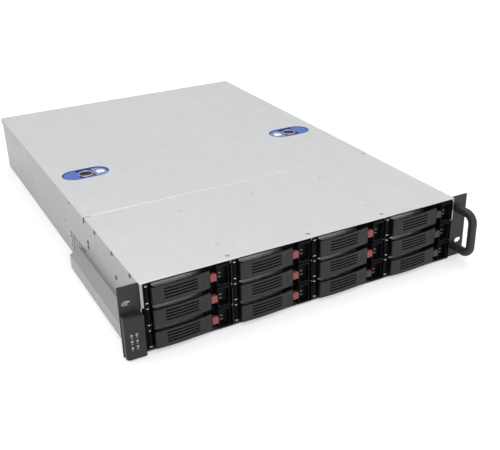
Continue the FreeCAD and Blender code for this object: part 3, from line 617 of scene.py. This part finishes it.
# ---- Cover latches ----------------------------------------------------------------------------------
def make_latch(name, x):
    """Blue cup with a raised pad in each half, a plated ring and a padlock printed on the inner pad."""
    side = 1 if x > 0 else -1
    low, rim = LATCHES_LOW.z, 1.6
    inner = obround(x, LATCH_DEPTH, LATCH_LENGTH - 2 * rim, LATCH_WIDTH - 2 * rim)
    bore = circle(x, LATCH_DEPTH, LATCH_BORE_R)
    cup = Shape()
    cup.prism(obround(x, LATCH_DEPTH, LATCH_LENGTH, LATCH_WIDTH), low, TOP_Z, lying, holes=[inner],
              soft=0.5, soft_low=False)
    cup.slot = 1
    cup.prism(inset(inner, -0.1), low, LATCH_FLOOR_Z, lying, holes=[bore])
    reach, r = LATCH_LENGTH / 2 - rim - 0.5, LATCH_WIDTH / 2 - rim - 0.5
    pads = ((side, LATCH_RING_R + 0.3, 0.5, 0), (-side, LATCH_RING_R + 1.2, 1.2, 1))
    for direction, edge, top, slot in pads:
        pad = arc(reach - r, 0, r, -90, 90, 12) + [(edge, r), (edge, -r)]
        pad = [(x + direction * u, LATCH_DEPTH + v) for u, v in (pad if direction > 0 else reversed(pad))]
        cup.slot = slot
        cup.prism(pad, LATCH_FLOOR_Z - 0.2, TOP_Z - top, lying, soft=0.8, soft_low=False)
    cup.build(name + "_cup", [BLUE_PLASTIC, BLUE_GREY_PLASTIC], "cover", "blue_plastic",
              ["latch_housings"])

    ring = Shape()
    ring.prism(circle(x, LATCH_DEPTH, LATCH_RING_R, 40), LATCH_FLOOR_Z - 0.5, TOP_Z - 0.6, lying,
               holes=[circle(x, LATCH_DEPTH, LATCH_BORE_R, 40)], soft=0.5, soft_low=False)
    ring.build(name + "_ring", [PIN_STEEL], "cover", "screw_steel")

    mark_x, top = x - side * 21.5, TOP_Z - 1.05
    mark = Shape()
    mark.prism(rounded_rect(mark_x - 5.6, mark_x + 5.6, LATCH_DEPTH - 6.0, LATCH_DEPTH + 2.4, 1.4),
               top - 0.4, top, lying, holes=[circle(mark_x, LATCH_DEPTH - 1.8, 1.2, 12)])
    bow = LATCH_DEPTH + 2.3
    mark.prism(arc(mark_x, bow, 4.2, 0, 180, 10) + arc(mark_x, bow, 2.6, 180, 0, 10), top - 0.4, top, lying)
    mark.build(name + "_mark", [WHITE_PRINT], "cover", "blue_plastic")


def make_latch_button(name, x):
    """Round button on a stem, slightly dished, with a soft edge."""
    low, high = box_mm(name)
    top, r = high.z, LATCH_BUTTON_R
    profile = [(0.01, low.z), (r - 2, low.z), (r - 2, top - 6), (r, top - 6), (r, top - 0.8),
               (r - 0.25, top - 0.25), (r - 0.8, top), (r - 1.8, top - 0.1), (r * 0.6, top - 0.45),
               (0.01, top - 0.6)]
    cap = Shape()
    cap.lathe(profile, (x, EAR_Y + LATCH_DEPTH, 0), turns=40)
    cap.build(name + "_cap", [BUTTON_BLACK], frame_body(name), "latch_button_plastic", [name])


# ---- Ears, handle, control box, duct, screws --------------------------------------------------------
def make_ear(name):
    """Flat plate with two rack slots, and a flange along the side wall."""
    low, high = box_mm(name)
    side = 1 if high.x > 0 else -1
    inner, outer = side * BODY_HALF, side * EAR_HIGH_X
    x0, x1 = min(inner, outer), max(inner, outer)
    slots = [obround(side * SLOT_X, z, SLOT_LENGTH, SLOT_WIDTH, 8) for z in SLOT_HEIGHTS]
    ear = Shape()
    ear.prism(rounded_rect(x0, x1, low.z, high.z, 1.0, 4), -EAR_PLATE, 0, ahead, holes=slots, soft=0.35)
    f0, f1 = sorted((inner, inner + side * EAR_PLATE))
    ear.prism(rounded_rect(EAR_PLATE / 2, depth_of(high.y), *FLANGE_Z, 3, 4), f0, f1, sideways, soft=0.3)
    ear.build(name + "_plate", [BLACK_PAINT], "chassis", "black_paint", [name])


def make_pull_handle():
    """A D of bar with softly rounded edges, bent at two generous corners."""
    low, high = HANDLE_LOW, HANDLE_HIGH
    half = HANDLE_BAR / 2
    x = (low.x + high.x) / 2
    front, r = depth_of(low.y) + half, HANDLE_BEND
    z0, z1 = low.z + half, high.z - half
    path = [(x, EAR_Y, z0), (x, EAR_Y + (front + r) / 2, z0)]
    path += [(x, EAR_Y + d, z) for d, z in arc(front + r, z0 + r, r, 270, 180, 10)]
    path += [(x, EAR_Y + front, z0 + (z1 - z0) * share) for share in (0.4, 0.5, 0.6)]
    path += [(x, EAR_Y + d, z) for d, z in arc(front + r, z1 - r, r, 180, 90, 10)]
    path += [(x, EAR_Y + (front + r) / 2, z1), (x, EAR_Y, z1)]
    bar = Shape()
    bar.sweep(path, rounded_rect(-half, half, low.x - x, high.x - x, 3.4, 5))
    bar.build("pull_handle_bar", [HANDLE_PAINT], "chassis", "handle_paint", ["pull_handle"], angle=60)


def make_control_box():
    """Box with one bevelled edge, a front panel with wells for its keys and lamps, and printed signs."""
    low, high = PANEL_LOW, PANEL_HIGH
    reach = EAR_Y - low.y
    bevel, skin = 3.0, 0.6
    body = Shape()
    outline = [(low.x, 0), (low.x, bevel - reach), (low.x + bevel, skin - reach), (high.x, skin - reach),
               (high.x, 0)]
    body.prism(outline, low.z, high.z, lying, soft=1.0)
    wells = [(circle(PANEL_X, z, r + 0.35, 24), 0.5) for z, r in ((POWER_Z, 3.0), (RESET_Z, 1.6))]
    wells += [(rounded_rect(PANEL_X + u - 1.5, PANEL_X + u + 1.5, z - 0.9, z + 0.9, 0.8, 3), 0.3)
              for u in LAMP_COLUMNS for z in LAMP_ROWS]
    body.prism(rounded_rect(low.x + bevel, high.x - 0.3, low.z + 0.8, high.z - 0.8, 1.6),
               reach - skin - 1, reach, ahead, pits=wells, soft=0.45, soft_low=False)
    body.build("control_box_shell", [PANEL_PLASTIC], "chassis", "panel_plastic", ["control_panel"])

    marks = Shape()
    for column, u in enumerate(LAMP_COLUMNS):
        for row, z in enumerate(LAMP_ROWS):
            x = PANEL_X + u
            marks.slot = 0
            marks.prism(rounded_rect(x - 1.2, x + 1.2, z - 0.7, z + 0.7, 0.6, 3), reach - 0.9, reach - 0.1,
                        ahead, soft=0.15, soft_low=False)
            marks.slot = 1
            add_icon(marks, x, z + 3.4, (column + row) % 3, reach)
    marks.build("control_box_lamps", [LIGHT_PIPE, ICON_PRINT], "chassis", "panel_plastic")


def add_icon(shape, u, z, kind, reach):
    """One small printed sign: a ring, a pair of bars or a triangle."""
    bars = [rounded_rect(u - 1.4, u + 1.4, z + d, z + d + 0.9, 0.2, 2) for d in (-1.3, 0.4)]
    triangle = [(u - 1.5, z - 1.2), (u + 1.5, z - 1.2), (u, z + 1.5)]
    outlines = ([circle(u, z, 1.4, 16)], bars, [triangle])[kind]
    holes = [circle(u, z, 0.6, 12)] if kind == 0 else []
    for outline in outlines:
        shape.prism(outline, reach - 0.05, reach + 0.08, ahead, holes=holes)


def make_panel_key(name, z, r):
    """Round key with a dished middle."""
    top = EAR_Y - box_mm(name)[0].y
    key = Shape()
    key.prism(circle(PANEL_X, z, r), top - 3.9, top, ahead,
              pits=[(circle(PANEL_X, z, r * 0.62, 20), 0.2)], soft=0.35, soft_low=False)
    key.build(name + "_cap", [KEY_PLASTIC], frame_body(name), "panel_button_plastic", [name])


def make_duct():
    """Folded channel with a sloping top face and rolled edges, closed at both ends."""
    low, high = box_mm("cable_duct")
    wall, outer = -BODY_HALF, low.x
    profile = [(wall, low.z), (wall, high.z), (wall - 2, high.z), (outer, high.z - 7), (outer, low.z)]
    duct = Shape()
    duct.prism(profile, depth_of(low.y), depth_of(high.y), behind, soft=0.8)
    duct.build("cable_duct_channel", [SHADED_DUCT_STEEL], "chassis", "bare_steel", ["cable_duct"])


def cross(cu, cv, long, short):
    """Outline of a Phillips recess."""
    a, b = long / 2, short / 2
    corners = [(a, -b), (a, b), (b, b), (b, a), (-b, a), (-b, b),
               (-a, b), (-a, -b), (-b, -b), (-b, -a), (b, -a), (b, -b)]
    return [(cu + u, cv + v) for u, v in corners]


def make_screws():
    """Heads of the screws sunk in the front cover and of those standing on both side walls."""
    screws = Shape()
    for x in TOP_SCREWS_X:
        screws.prism(circle(x, TOP_SCREW_DEPTH, SCREW_R, 20), TOP_Z - 0.7, TOP_Z - 0.05, lying,
                     pits=[(cross(x, TOP_SCREW_DEPTH, 2.6, 0.7), 0.4)], soft=0.2, soft_low=False)
    for side in (-1, 1):
        def outward(u, v, w, side=side):
            """u is a depth, v up, w the reach from the middle plane towards this side."""
            return (side * w, EAR_Y + u, v)

        for depth, z in SIDE_SCREWS:
            screws.slot = screws.pit_slot = 1 if depth < DARK_SCREWS_DEPTH else 0
            screws.prism(circle(depth, z, SCREW_R, 20), BODY_HALF - 0.2, BODY_HALF + 0.7, outward,
                         pits=[(cross(depth, z, 2.8, 0.8), 0.5)], soft=0.3, soft_low=False)
    screws.build("cover_screw_heads", [SCREW_STEEL, DARK_METAL], "chassis", "screw_steel", ["cover_screws"])


# ---- Drive bays: meshes in a tray's own place, shared by the twelve bays ----------------------------
TRAY_W, TRAY_H = TRAY_HIGH.x - TRAY_LOW.x, TRAY_HIGH.z - TRAY_LOW.z


def bezel_shape():
    """Carrier: a deep frame around the drive's front, a post with a recess, and two slotted rails. The
    frame and the post take a near-black that is painted shade.
    """
    plate, post, back = 4.2, 87.0, 17.0
    # The deep frame and the post with its recess take the near-black painted shade.
    shape = Shape()
    shape.slot = 1
    shape.prism(rounded_rect(0, TRAY_W, 0, TRAY_H, 0.8), -back, -plate, ahead,
                holes=[rounded_rect(12, 78, 4, TRAY_H - 4, 1.5), circle(*STEM, 1.9, 16)], soft=0.3)
    shape.block(0, 1.2, -3.0, plate + 0.2, 0, TRAY_H, 0.25)
    shape.pit_slot = 1
    shape.prism(rounded_rect(post, TRAY_W, 0, TRAY_H, 0.9), -plate - 0.2, 5.0, ahead,
                pits=[(rounded_rect(88.2, 101.2, 2.4, TRAY_H - 2.4, 1.0), 7.0)], soft=0.45, soft_low=False)
    shape.slot = 0
    shape.prism(rounded_rect(101.6, TRAY_W, 0.3, TRAY_H - 0.3, 0.7), -plate, 5.0, ahead, soft=0.4,
                soft_low=False)
    rail_end = depth_of(TRAY_HIGH.y)
    slots = [obround(d, 11, 22, 6, 6) for d in (46, 86, 126)]
    for x0, x1 in ((0, 1.9), (TRAY_W - 1.9, TRAY_W)):
        shape.prism(rounded_rect(back - 0.2, rail_end, 0, 21, 2.0, 3), x0, x1, sideways, holes=slots,
                    soft=0.3)
    return shape


def bracket_shape():
    """Steel hinge bracket: two tabs with rounded noses and the pin between them."""
    shape = Shape()
    tab = arc(4.35, 0.55, 3.15, 180, 360, 8) + [(7.5, 4.3), (1.2, 4.3)]
    for z0 in TAB_HEIGHTS:
        shape.prism(tab, z0, z0 + TAB_SHEET, lying, soft=0.15)
    shape.prism(circle(*HINGE, 1.2, 16), 2.5, 23.5, lying)
    return shape


def pipes_shape():
    """Ends of the two light pipes in the post's recess."""
    shape = Shape()
    for z in (11.7, 16.6):
        shape.block(88.1, 92.4, -4.4, -3.2, z, z + 1.2)
    return shape


def drive_shape():
    """Disk drive: cast body, raised lid with its screws and hub boss, label and rear connector."""
    left, front, length, width = 1.9, 18.0, 147.0, 101.6
    z0, lid = 0.25, 25.2
    right, back = left + width, front + length
    shape = Shape()
    shape.prism(rounded_rect(left, right, front, back, 2.5, 4), z0, lid, lying, soft=0.8)
    screws = [(circle(u, v, 2.2, 12), 0.5)
              for v in (front + 6, back - 6, front + 74) for u in (left + 6, right - 6)]
    shape.pit_slot = 1
    shape.prism(rounded_rect(left + 1.5, right - 1.5, front + 1.5, back - 1.5, 6, 5), lid - 0.5, lid + 0.7,
                lying, pits=screws, soft=0.4, soft_low=False)
    shape.prism(circle((left + right) / 2, front + 52, 30, 40), lid + 0.5, lid + 1.0, lying, soft=0.3,
                soft_low=False)
    shape.slot = 1
    shape.block(left + 10, right - 10, back - 4, back, z0 + 0.2, z0 + 6)
    shape.slot = 2
    shape.prism(rounded_rect(left + 18, right - 18, back - 46, back - 12, 1.5), lid + 0.6, lid + 0.8, lying)
    return shape


def lever_shape():
    """Bowed lever front with four through slots, a rounded top edge and a hinge knuckle."""
    left, right, low, high, back = 7.8, 78.0, 1.7, 23.6, 3.0
    tab_gap, step = 0.35, 0.05
    tab_low, tab_high = TAB_HEIGHTS[0] + TAB_SHEET + tab_gap, TAB_HEIGHTS[1] - tab_gap
    nose, foot, crown, wall = 2.0, 1.0, 0.8, 2.4
    slots = [(h, h + 1.8) for h in (7.6, 11.4, 15.2, 19.0)]
    slot_x = (21.5, 62.0)

    def bow(x):
        """Depth of the face: a parabola through three of its points, with a rounded left end."""
        a, b, c = (left + nose, -9.3), (36.0, -10.0), (right, -5.8)
        depth = (a[1] * (x - b[0]) * (x - c[0]) / ((a[0] - b[0]) * (a[0] - c[0]))
                 + b[1] * (x - a[0]) * (x - c[0]) / ((b[0] - a[0]) * (b[0] - c[0]))
                 + c[1] * (x - a[0]) * (x - b[0]) / ((c[0] - a[0]) * (c[0] - b[0])))
        if x < a[0]:
            depth = a[1] + nose - math.sqrt(max(0.0, nose ** 2 - (a[0] - x) ** 2))
        return depth

    def fall(z, r, edge):
        """How far the face falls back where it rounds over an edge by a radius r."""
        reach = r - abs(edge - z)
        return r - math.sqrt(r * r - reach * reach) if reach > 0 else 0.0

    xs = [left + nose * (1 - math.cos(math.radians(a))) for a in range(0, 90, 15)]
    xs += [left + nose + k * (slot_x[0] - left - nose) / 4 for k in range(4)]
    xs += [slot_x[0] + k * (slot_x[1] - slot_x[0]) / 12 for k in range(12)]
    xs += [slot_x[1] + k * (right - wall - slot_x[1]) / 4 for k in range(5)] + [right - wall + 0.2, right]
    zs = [low + foot * (1 - math.cos(math.radians(a))) for a in (0, 30, 60)] + [low + foot]
    zs += [tab_low - step, tab_low + step, 5.5]
    for pair in slots:
        zs += pair
    zs += [high - crown, tab_high - step, tab_high + step]
    zs += [high - crown + crown * math.sin(math.radians(a)) for a in (60, 90)]

    def front(x, z):
        return bow(x) + fall(z, crown, high) + fall(z, foot, low)

    def rear(x, z):
        """Inside of the shell; its left end wall is cut back around the hinge tabs."""
        if x < left + wall - 0.1:
            return back if tab_low < z < tab_high else -4.2
        return back if x > right - wall + 0.1 else bow(x) + wall

    def in_slot(x, z):
        return slot_x[0] < x < slot_x[1] and any(a < z < b for a, b in slots)

    shape = Shape()
    # Everything behind the lever's front, the slot walls too, takes the near-black painted shade.
    shape.grid(xs, zs, front, rear, in_slot, 1)
    rib = (slot_x[0] + slot_x[1]) / 2
    shape.block(rib - 1, rib + 1, bow(rib) + 1.4, bow(rib) + 4, slots[0][0] - 1, slots[-1][1] + 1, 0.2)
    for z in (9.9, 13.7, 17.5):
        shape.block(67.0, 72.0, bow(69.5) - 0.22, bow(69.5) + 1.5, z, z + 0.9, 0.2)
    # The hinge knuckle takes the same near-black painted shade.
    shape.slot = 1
    shape.prism(circle(*HINGE, 2.9, 24), tab_low, tab_high, lying, holes=[circle(*HINGE, 1.3, 16)],
                soft=0.3)
    return shape


def button_shape():
    """Release catch: a crowned cap with finger ribs on a round stem."""
    left, right, low, high = 78.6, 86.4, 8.7, 17.9
    shape = Shape()
    shape.prism(rounded_rect(left, right, low, high, 1.4, 4), 0.5, 6.1, ahead, soft=0.9)
    for z in (10.7, 12.9, 15.1):
        shape.block(left + 1.2, right - 1.2, -6.4, -5.5, z, z + 0.8, 0.25)
    shape.prism(circle(*STEM, 1.5, 16), -9.0, 1.0, ahead)
    return shape


def make_bays():
    """Six pieces for each bay: kind, shape, materials, body, slot and the CAD node they stand for."""
    kinds = (
        ("tray_bezel", bezel_shape(), [TRAY_PLASTIC, RECESS_SHADE_BLACK],
         "tray_", "tray_plastic", "drive_tray_"),
        ("tray_hinge", bracket_shape(), [TAB_STEEL], "tray_", "screw_steel", None),
        ("tray_light_pipes", pipes_shape(), [PIPE_PLASTIC], "tray_", "tray_plastic", None),
        ("disk_drive", drive_shape(), [DRIVE_METAL, DARK_METAL, LABEL_PAPER],
         "tray_", "heatsink_aluminium", None),
        ("lever_front", lever_shape(), [LEVER_PLASTIC, RECESS_SHADE_BLACK],
         "lever_", "lever_plastic", "tray_lever_"),
        ("release_catch", button_shape(), [RED_PLASTIC], "release_", "release_red", "release_button_"),
    )
    # The catches of those bays get the darker red, painted shade.
    shaded_catch = button_shape().mesh("release_catch_shaded", [SHADED_RED_PLASTIC])
    for kind, shape, materials, body, slot, node in kinds:
        mesh = shape.mesh(kind, materials)
        for c in COLUMNS:
            for r in ROWS:
                place = place_of(c, r)
                low = box_mm("drive_tray_" + place)[0]
                replaced = [node + place] if node else []
                made = shaded_catch if kind == "release_catch" and (c, r) in SHADED_CATCHES else mesh
                Shape.place(made, kind + "_" + place, body + place, slot, replaced, (low.x, 0, low.z))


# ---- Rear and inside --------------------------------------------------------------------------------
def make_power_supply(name):
    """Steel case with a punched grille and a mains inlet, a wire loop handle, a latch and a lamp."""
    low, high = box_mm(name)
    body = frame_body(name)
    front, back, z0, z1 = depth_of(low.y), depth_of(BODY_HIGH.y), low.z, high.z
    handle_low_x, handle_high_x = high.x - 34.0, high.x - 28.0
    grille = []
    pitch, bar_gap = 4.7, 2.2
    for j in range(7):
        for i in range(14):
            x = low.x + 38 + i * pitch + (pitch / 2 if j % 2 else 0)
            z = z0 + 6.0 + j * pitch * 0.95
            if x < high.x - 9 and not handle_low_x - bar_gap < x < handle_high_x + bar_gap:
                grille.append((circle(x, z, 1.75, 10), 2.5))
    inlet_x, inlet_z = low.x + 20.0, (z0 + z1) / 2

    def inlet_outline(half_width, half_height, r):
        return rounded_rect(inlet_x - half_width, inlet_x + half_width,
                            inlet_z - half_height, inlet_z + half_height, r, 4)

    case = Shape()
    # The inlet's pit and the grille's holes take the near-black painted shade.
    case.pit_slot = 1
    case.prism(rounded_rect(low.x, high.x, z0, z1, 0.8, 3), front, back, behind,
               pits=[(inlet_outline(13, 9, 2.5), 15.0)] + grille, soft=0.4)
    case.build(name + "_case", [SUPPLY_STEEL, RECESS_SHADE_BLACK], body, "supply_steel", [name])

    socket = Shape()
    socket.prism(inlet_outline(12.6, 8.6, 2.2), back - 14.8, back + 0.6, behind,
                 pits=[(inlet_outline(10.5, 6.6, 3.0), 14.0)], soft=0.4, soft_low=False)
    socket.slot = 1
    for dx, dz in ((-5.5, -1.5), (5.5, -1.5), (0, 2.5)):
        x, z = inlet_x + dx, inlet_z + dz
        socket.block(x - 1, x + 1, back - 14.5, back - 3, z - 2, z + 2)
    socket.build(name + "_inlet", [BUTTON_BLACK, PIN_STEEL], body, "supply_steel")

    x, reach, r = (handle_low_x + handle_high_x) / 2, depth_of(high.y) - 2.0, 6.0
    low_z, high_z = z0 + 5.0, z0 + 34.0
    path = [(x, EAR_Y + back - 0.5, low_z), (x, EAR_Y + back + 8, low_z)]
    path += [(x, EAR_Y + d, z) for d, z in arc(reach - r, low_z + r, r, -90, 0, 8)]
    path += [(x, EAR_Y + d, z) for d, z in arc(reach - r, high_z - r, r, 0, 90, 8)]
    path += [(x, EAR_Y + back + 8, high_z), (x, EAR_Y + back - 0.5, high_z)]
    loop = Shape()
    loop.sweep(path, rounded_rect(-2, 2, handle_low_x - x, handle_high_x - x, 1.6, 4))
    loop.build(name + "_handle", [HANDLE_PAINT], body, "handle_paint", angle=60)

    catch = Shape()
    side = high.x - 2.5
    catch.prism(rounded_rect(back - 0.5, back + 12, z0 + 13, z0 + 26, 1.8, 4), side - 3.5, side, sideways,
                soft=0.6)
    for z in (16.0, 19.0, 22.0):
        catch.block(side - 3.9, side - 3.2, back + 7.5, back + 11, z0 + z, z0 + z + 1.2, 0.25)
    catch.build(name + "_catch", [RED_PLASTIC], body, "release_red")

    lamp = Shape()
    lamp.lathe([(0.01, -1), (1.5, -1), (1.5, 0.2), (1.1, 0.55), (0.01, 0.7)],
               (low.x + 36.0, EAR_Y + back, z1 - 5.0), "y", 16)
    lamp.build(name + "_lamp", [LAMP_GREEN], body, "supply_steel")


def box_region(x0, x1, d0, d1, z0, z1):
    """Test for a point (x, depth, z) inside a box."""
    return lambda p: x0 < p.x < x1 and d0 < p.y < d1 and z0 < p.z < z1


def in_port(p, margin):
    """Whether a point lies within the outline of one of the four port shells, less a margin."""
    return any(abs(p.x - x) < w / 2 - margin and BOARD_TOP + margin < p.z < BOARD_TOP + h - margin
               for x, w, h in PORT_SHELLS)


def paint_node(name, material, regions):
    """Gives a CAD node its finish; a region's material goes on the faces whose middle lies in it."""
    mesh = frame["nodes"][name].data
    mesh.materials.clear()
    mesh.materials.append(material)
    for other, _ in regions:
        mesh.materials.append(other)
    for polygon in mesh.polygons:
        middle = polygon.center / MM
        middle.y -= EAR_Y
        polygon.material_index = 0
        for number, (_, inside) in enumerate(regions, start=1):
            if inside(middle):
                polygon.material_index = number


def make_interior():
    """Finishes for the CAD nodes that keep their shape, by region where a node has several materials."""
    back = depth_of(BODY_HIGH.y)
    above = BOARD_TOP + 0.1
    board_front, board_back = 171.9, 174.1      # depths between which the backplane's own board lies
    mouths = box_region(-25, 90, back - 3.1, back + 0.3, BOARD_TOP, 50)
    shield = box_region(-40, 140, back - 2.1, back - 1.1, 0, 90)
    connectors = [(BUTTON_BLACK, box_region(-300, 300, 100, board_front, 0, 90)),
                  (BUTTON_BLACK, box_region(-300, 300, board_back, 190, 0, 90))]
    mainboard_parts = [
        (PIN_STEEL, box_region(-25, 90, back - 21, back + 1, above, 50)),       # port shells
        # The port openings take the near-black painted shade.
        (RECESS_SHADE_BLACK, lambda p: mouths(p) and in_port(p, 1.4)),              # openings of the ports
        (SHADED_STEEL, lambda p: shield(p) and not in_port(p, -0.1)),                  # shield around the ports
        (BUTTON_BLACK, box_region(-40, 120, 400, 500, above, 16)),              # processor socket
        (BUTTON_BLACK, box_region(-180, -100, 370, 530, above, 17.7)),          # memory sockets
        (BUTTON_BLACK, box_region(-14, 24, 370, 530, above, 17.7)),             # memory sockets
        (BLUE_PLASTIC, box_region(-180, -40, 550, 650, above, 30)),             # card slots
        (FIN_METAL, box_region(18, 62, 570, 618, above, 30)),                   # small heatsink
    ]
    paint_node("chassis_base", SHADED_STEEL, [])
    paint_node("drive_cage", SHADED_STEEL, [])
    paint_node("backplane", BOARD_GREEN, connectors)
    paint_node("mainboard", BOARD_GREEN, mainboard_parts)
    paint_node("processor_heatsinks", FIN_METAL, [])
    paint_node("fan_wall", FAN_PLASTIC, [(SHADED_STEEL, lambda p: p.y > 240.05 or p.z < 2.45)])
    for name in ("fan_rotor_1", "fan_rotor_2", "fan_rotor_3"):
        paint_node(name, ROTOR_PLASTIC, [])


make_front_cover()
make_rear_cover()
for latch_name, latch_x in zip(("left", "right"), LATCH_X):
    make_latch("latch_" + latch_name, latch_x)
    make_latch_button("latch_button_" + latch_name, latch_x)
make_ear("rack_ear_left")
make_ear("rack_ear_right")
make_pull_handle()
make_control_box()
make_panel_key("power_button", POWER_Z, 3.0)
make_panel_key("reset_button", RESET_Z, 1.6)
make_duct()
make_screws()
make_bays()
make_power_supply("power_supply_1")
make_power_supply("power_supply_2")
make_interior()


# ---- Camera, floor and light ------------------------------------------------------------------------
CAMERA_AZIMUTH = -27.51
CAMERA_ELEVATION = 25.87
CAMERA_ROLL = -1.55
CAMERA_LENS = 56.49
CAMERA_AT = (-445.3, EAR_Y - 700.6, 505.4)


def make_camera():
    """Looks back along its azimuth and elevation from CAMERA_AT, turned a little about its own axis."""
    data = bpy.data.cameras.new("camera")
    camera = bpy.data.objects.new("camera", data)
    bpy.context.scene.collection.objects.link(camera)
    data.lens = CAMERA_LENS
    data.sensor_width = 36.0
    data.clip_start, data.clip_end = 0.05, 60.0
    azimuth, elevation = math.radians(CAMERA_AZIMUTH), math.radians(CAMERA_ELEVATION)
    back = Vector((math.sin(azimuth) * math.cos(elevation),
                   -math.cos(azimuth) * math.cos(elevation),
                   math.sin(elevation)))
    right = (-back).cross(Vector((0, 0, 1))).normalized()
    up = right.cross(-back)
    turn = Matrix((right, up, back)).transposed() @ Matrix.Rotation(math.radians(CAMERA_ROLL), 3, "Z")
    camera.matrix_world = Matrix.Translation(Vector(CAMERA_AT) * MM) @ turn.to_4x4()
    bpy.context.scene.camera = camera


def make_floor():
    """Wide white ground that glows a little, so it stays white to the horizon."""
    paint = Paint("floor", (0.62, 0.62, 0.62), 0.85, specular=0.05)
    paint.shader.inputs["Emission Color"].default_value = (1, 1, 1, 1)
    paint.shader.inputs["Emission Strength"].default_value = 0.42
    paint.shade(paint.noise((3, 3, 3)), 0.006)
    bpy.ops.mesh.primitive_plane_add(size=80, location=(0, 0, -0.0004))
    floor = bpy.context.object
    floor.name = "floor"
    floor.data.materials.append(paint.material)


def make_world():
    """A pale studio: bright overhead, dimmer towards the horizon."""
    world = bpy.data.worlds.new("studio")
    bpy.context.scene.world = world
    world.use_nodes = True
    nodes, links = world.node_tree.nodes, world.node_tree.links
    source = nodes.new("ShaderNodeTexCoord")
    split = nodes.new("ShaderNodeSeparateXYZ")
    ramp = nodes.new("ShaderNodeMapRange")
    for key, number in (("From Min", -0.02), ("From Max", 0.42), ("To Min", 0.42), ("To Max", 1.0)):
        ramp.inputs[key].default_value = number
    links.new(source.outputs["Generated"], split.inputs["Vector"])
    links.new(split.outputs["Z"], ramp.inputs["Value"])
    links.new(ramp.outputs["Result"], nodes["Background"].inputs["Strength"])
    nodes["Background"].inputs["Color"].default_value = (1, 1, 1, 1)


def add_light(name, at, target, size, power):
    data = bpy.data.lights.new(name, "AREA")
    data.shape = "RECTANGLE"
    data.size, data.size_y = size
    data.energy = power
    light = bpy.data.objects.new(name, data)
    bpy.context.scene.collection.objects.link(light)
    light.location = at
    light.rotation_mode = "QUATERNION"
    light.rotation_quaternion = (Vector(target) - Vector(at)).to_track_quat("-Z", "Y")


make_camera()
make_floor()
make_world()
add_light("overhead", (0.2, 0.3, 2.6), (0, 0, 0), (2.6, 2.6), 26)
add_light("front", (-0.6, -2.2, 1.3), (0, -0.2, 0.03), (1.4, 0.9), 12)
bpy.context.scene.view_settings.view_transform = "Standard"
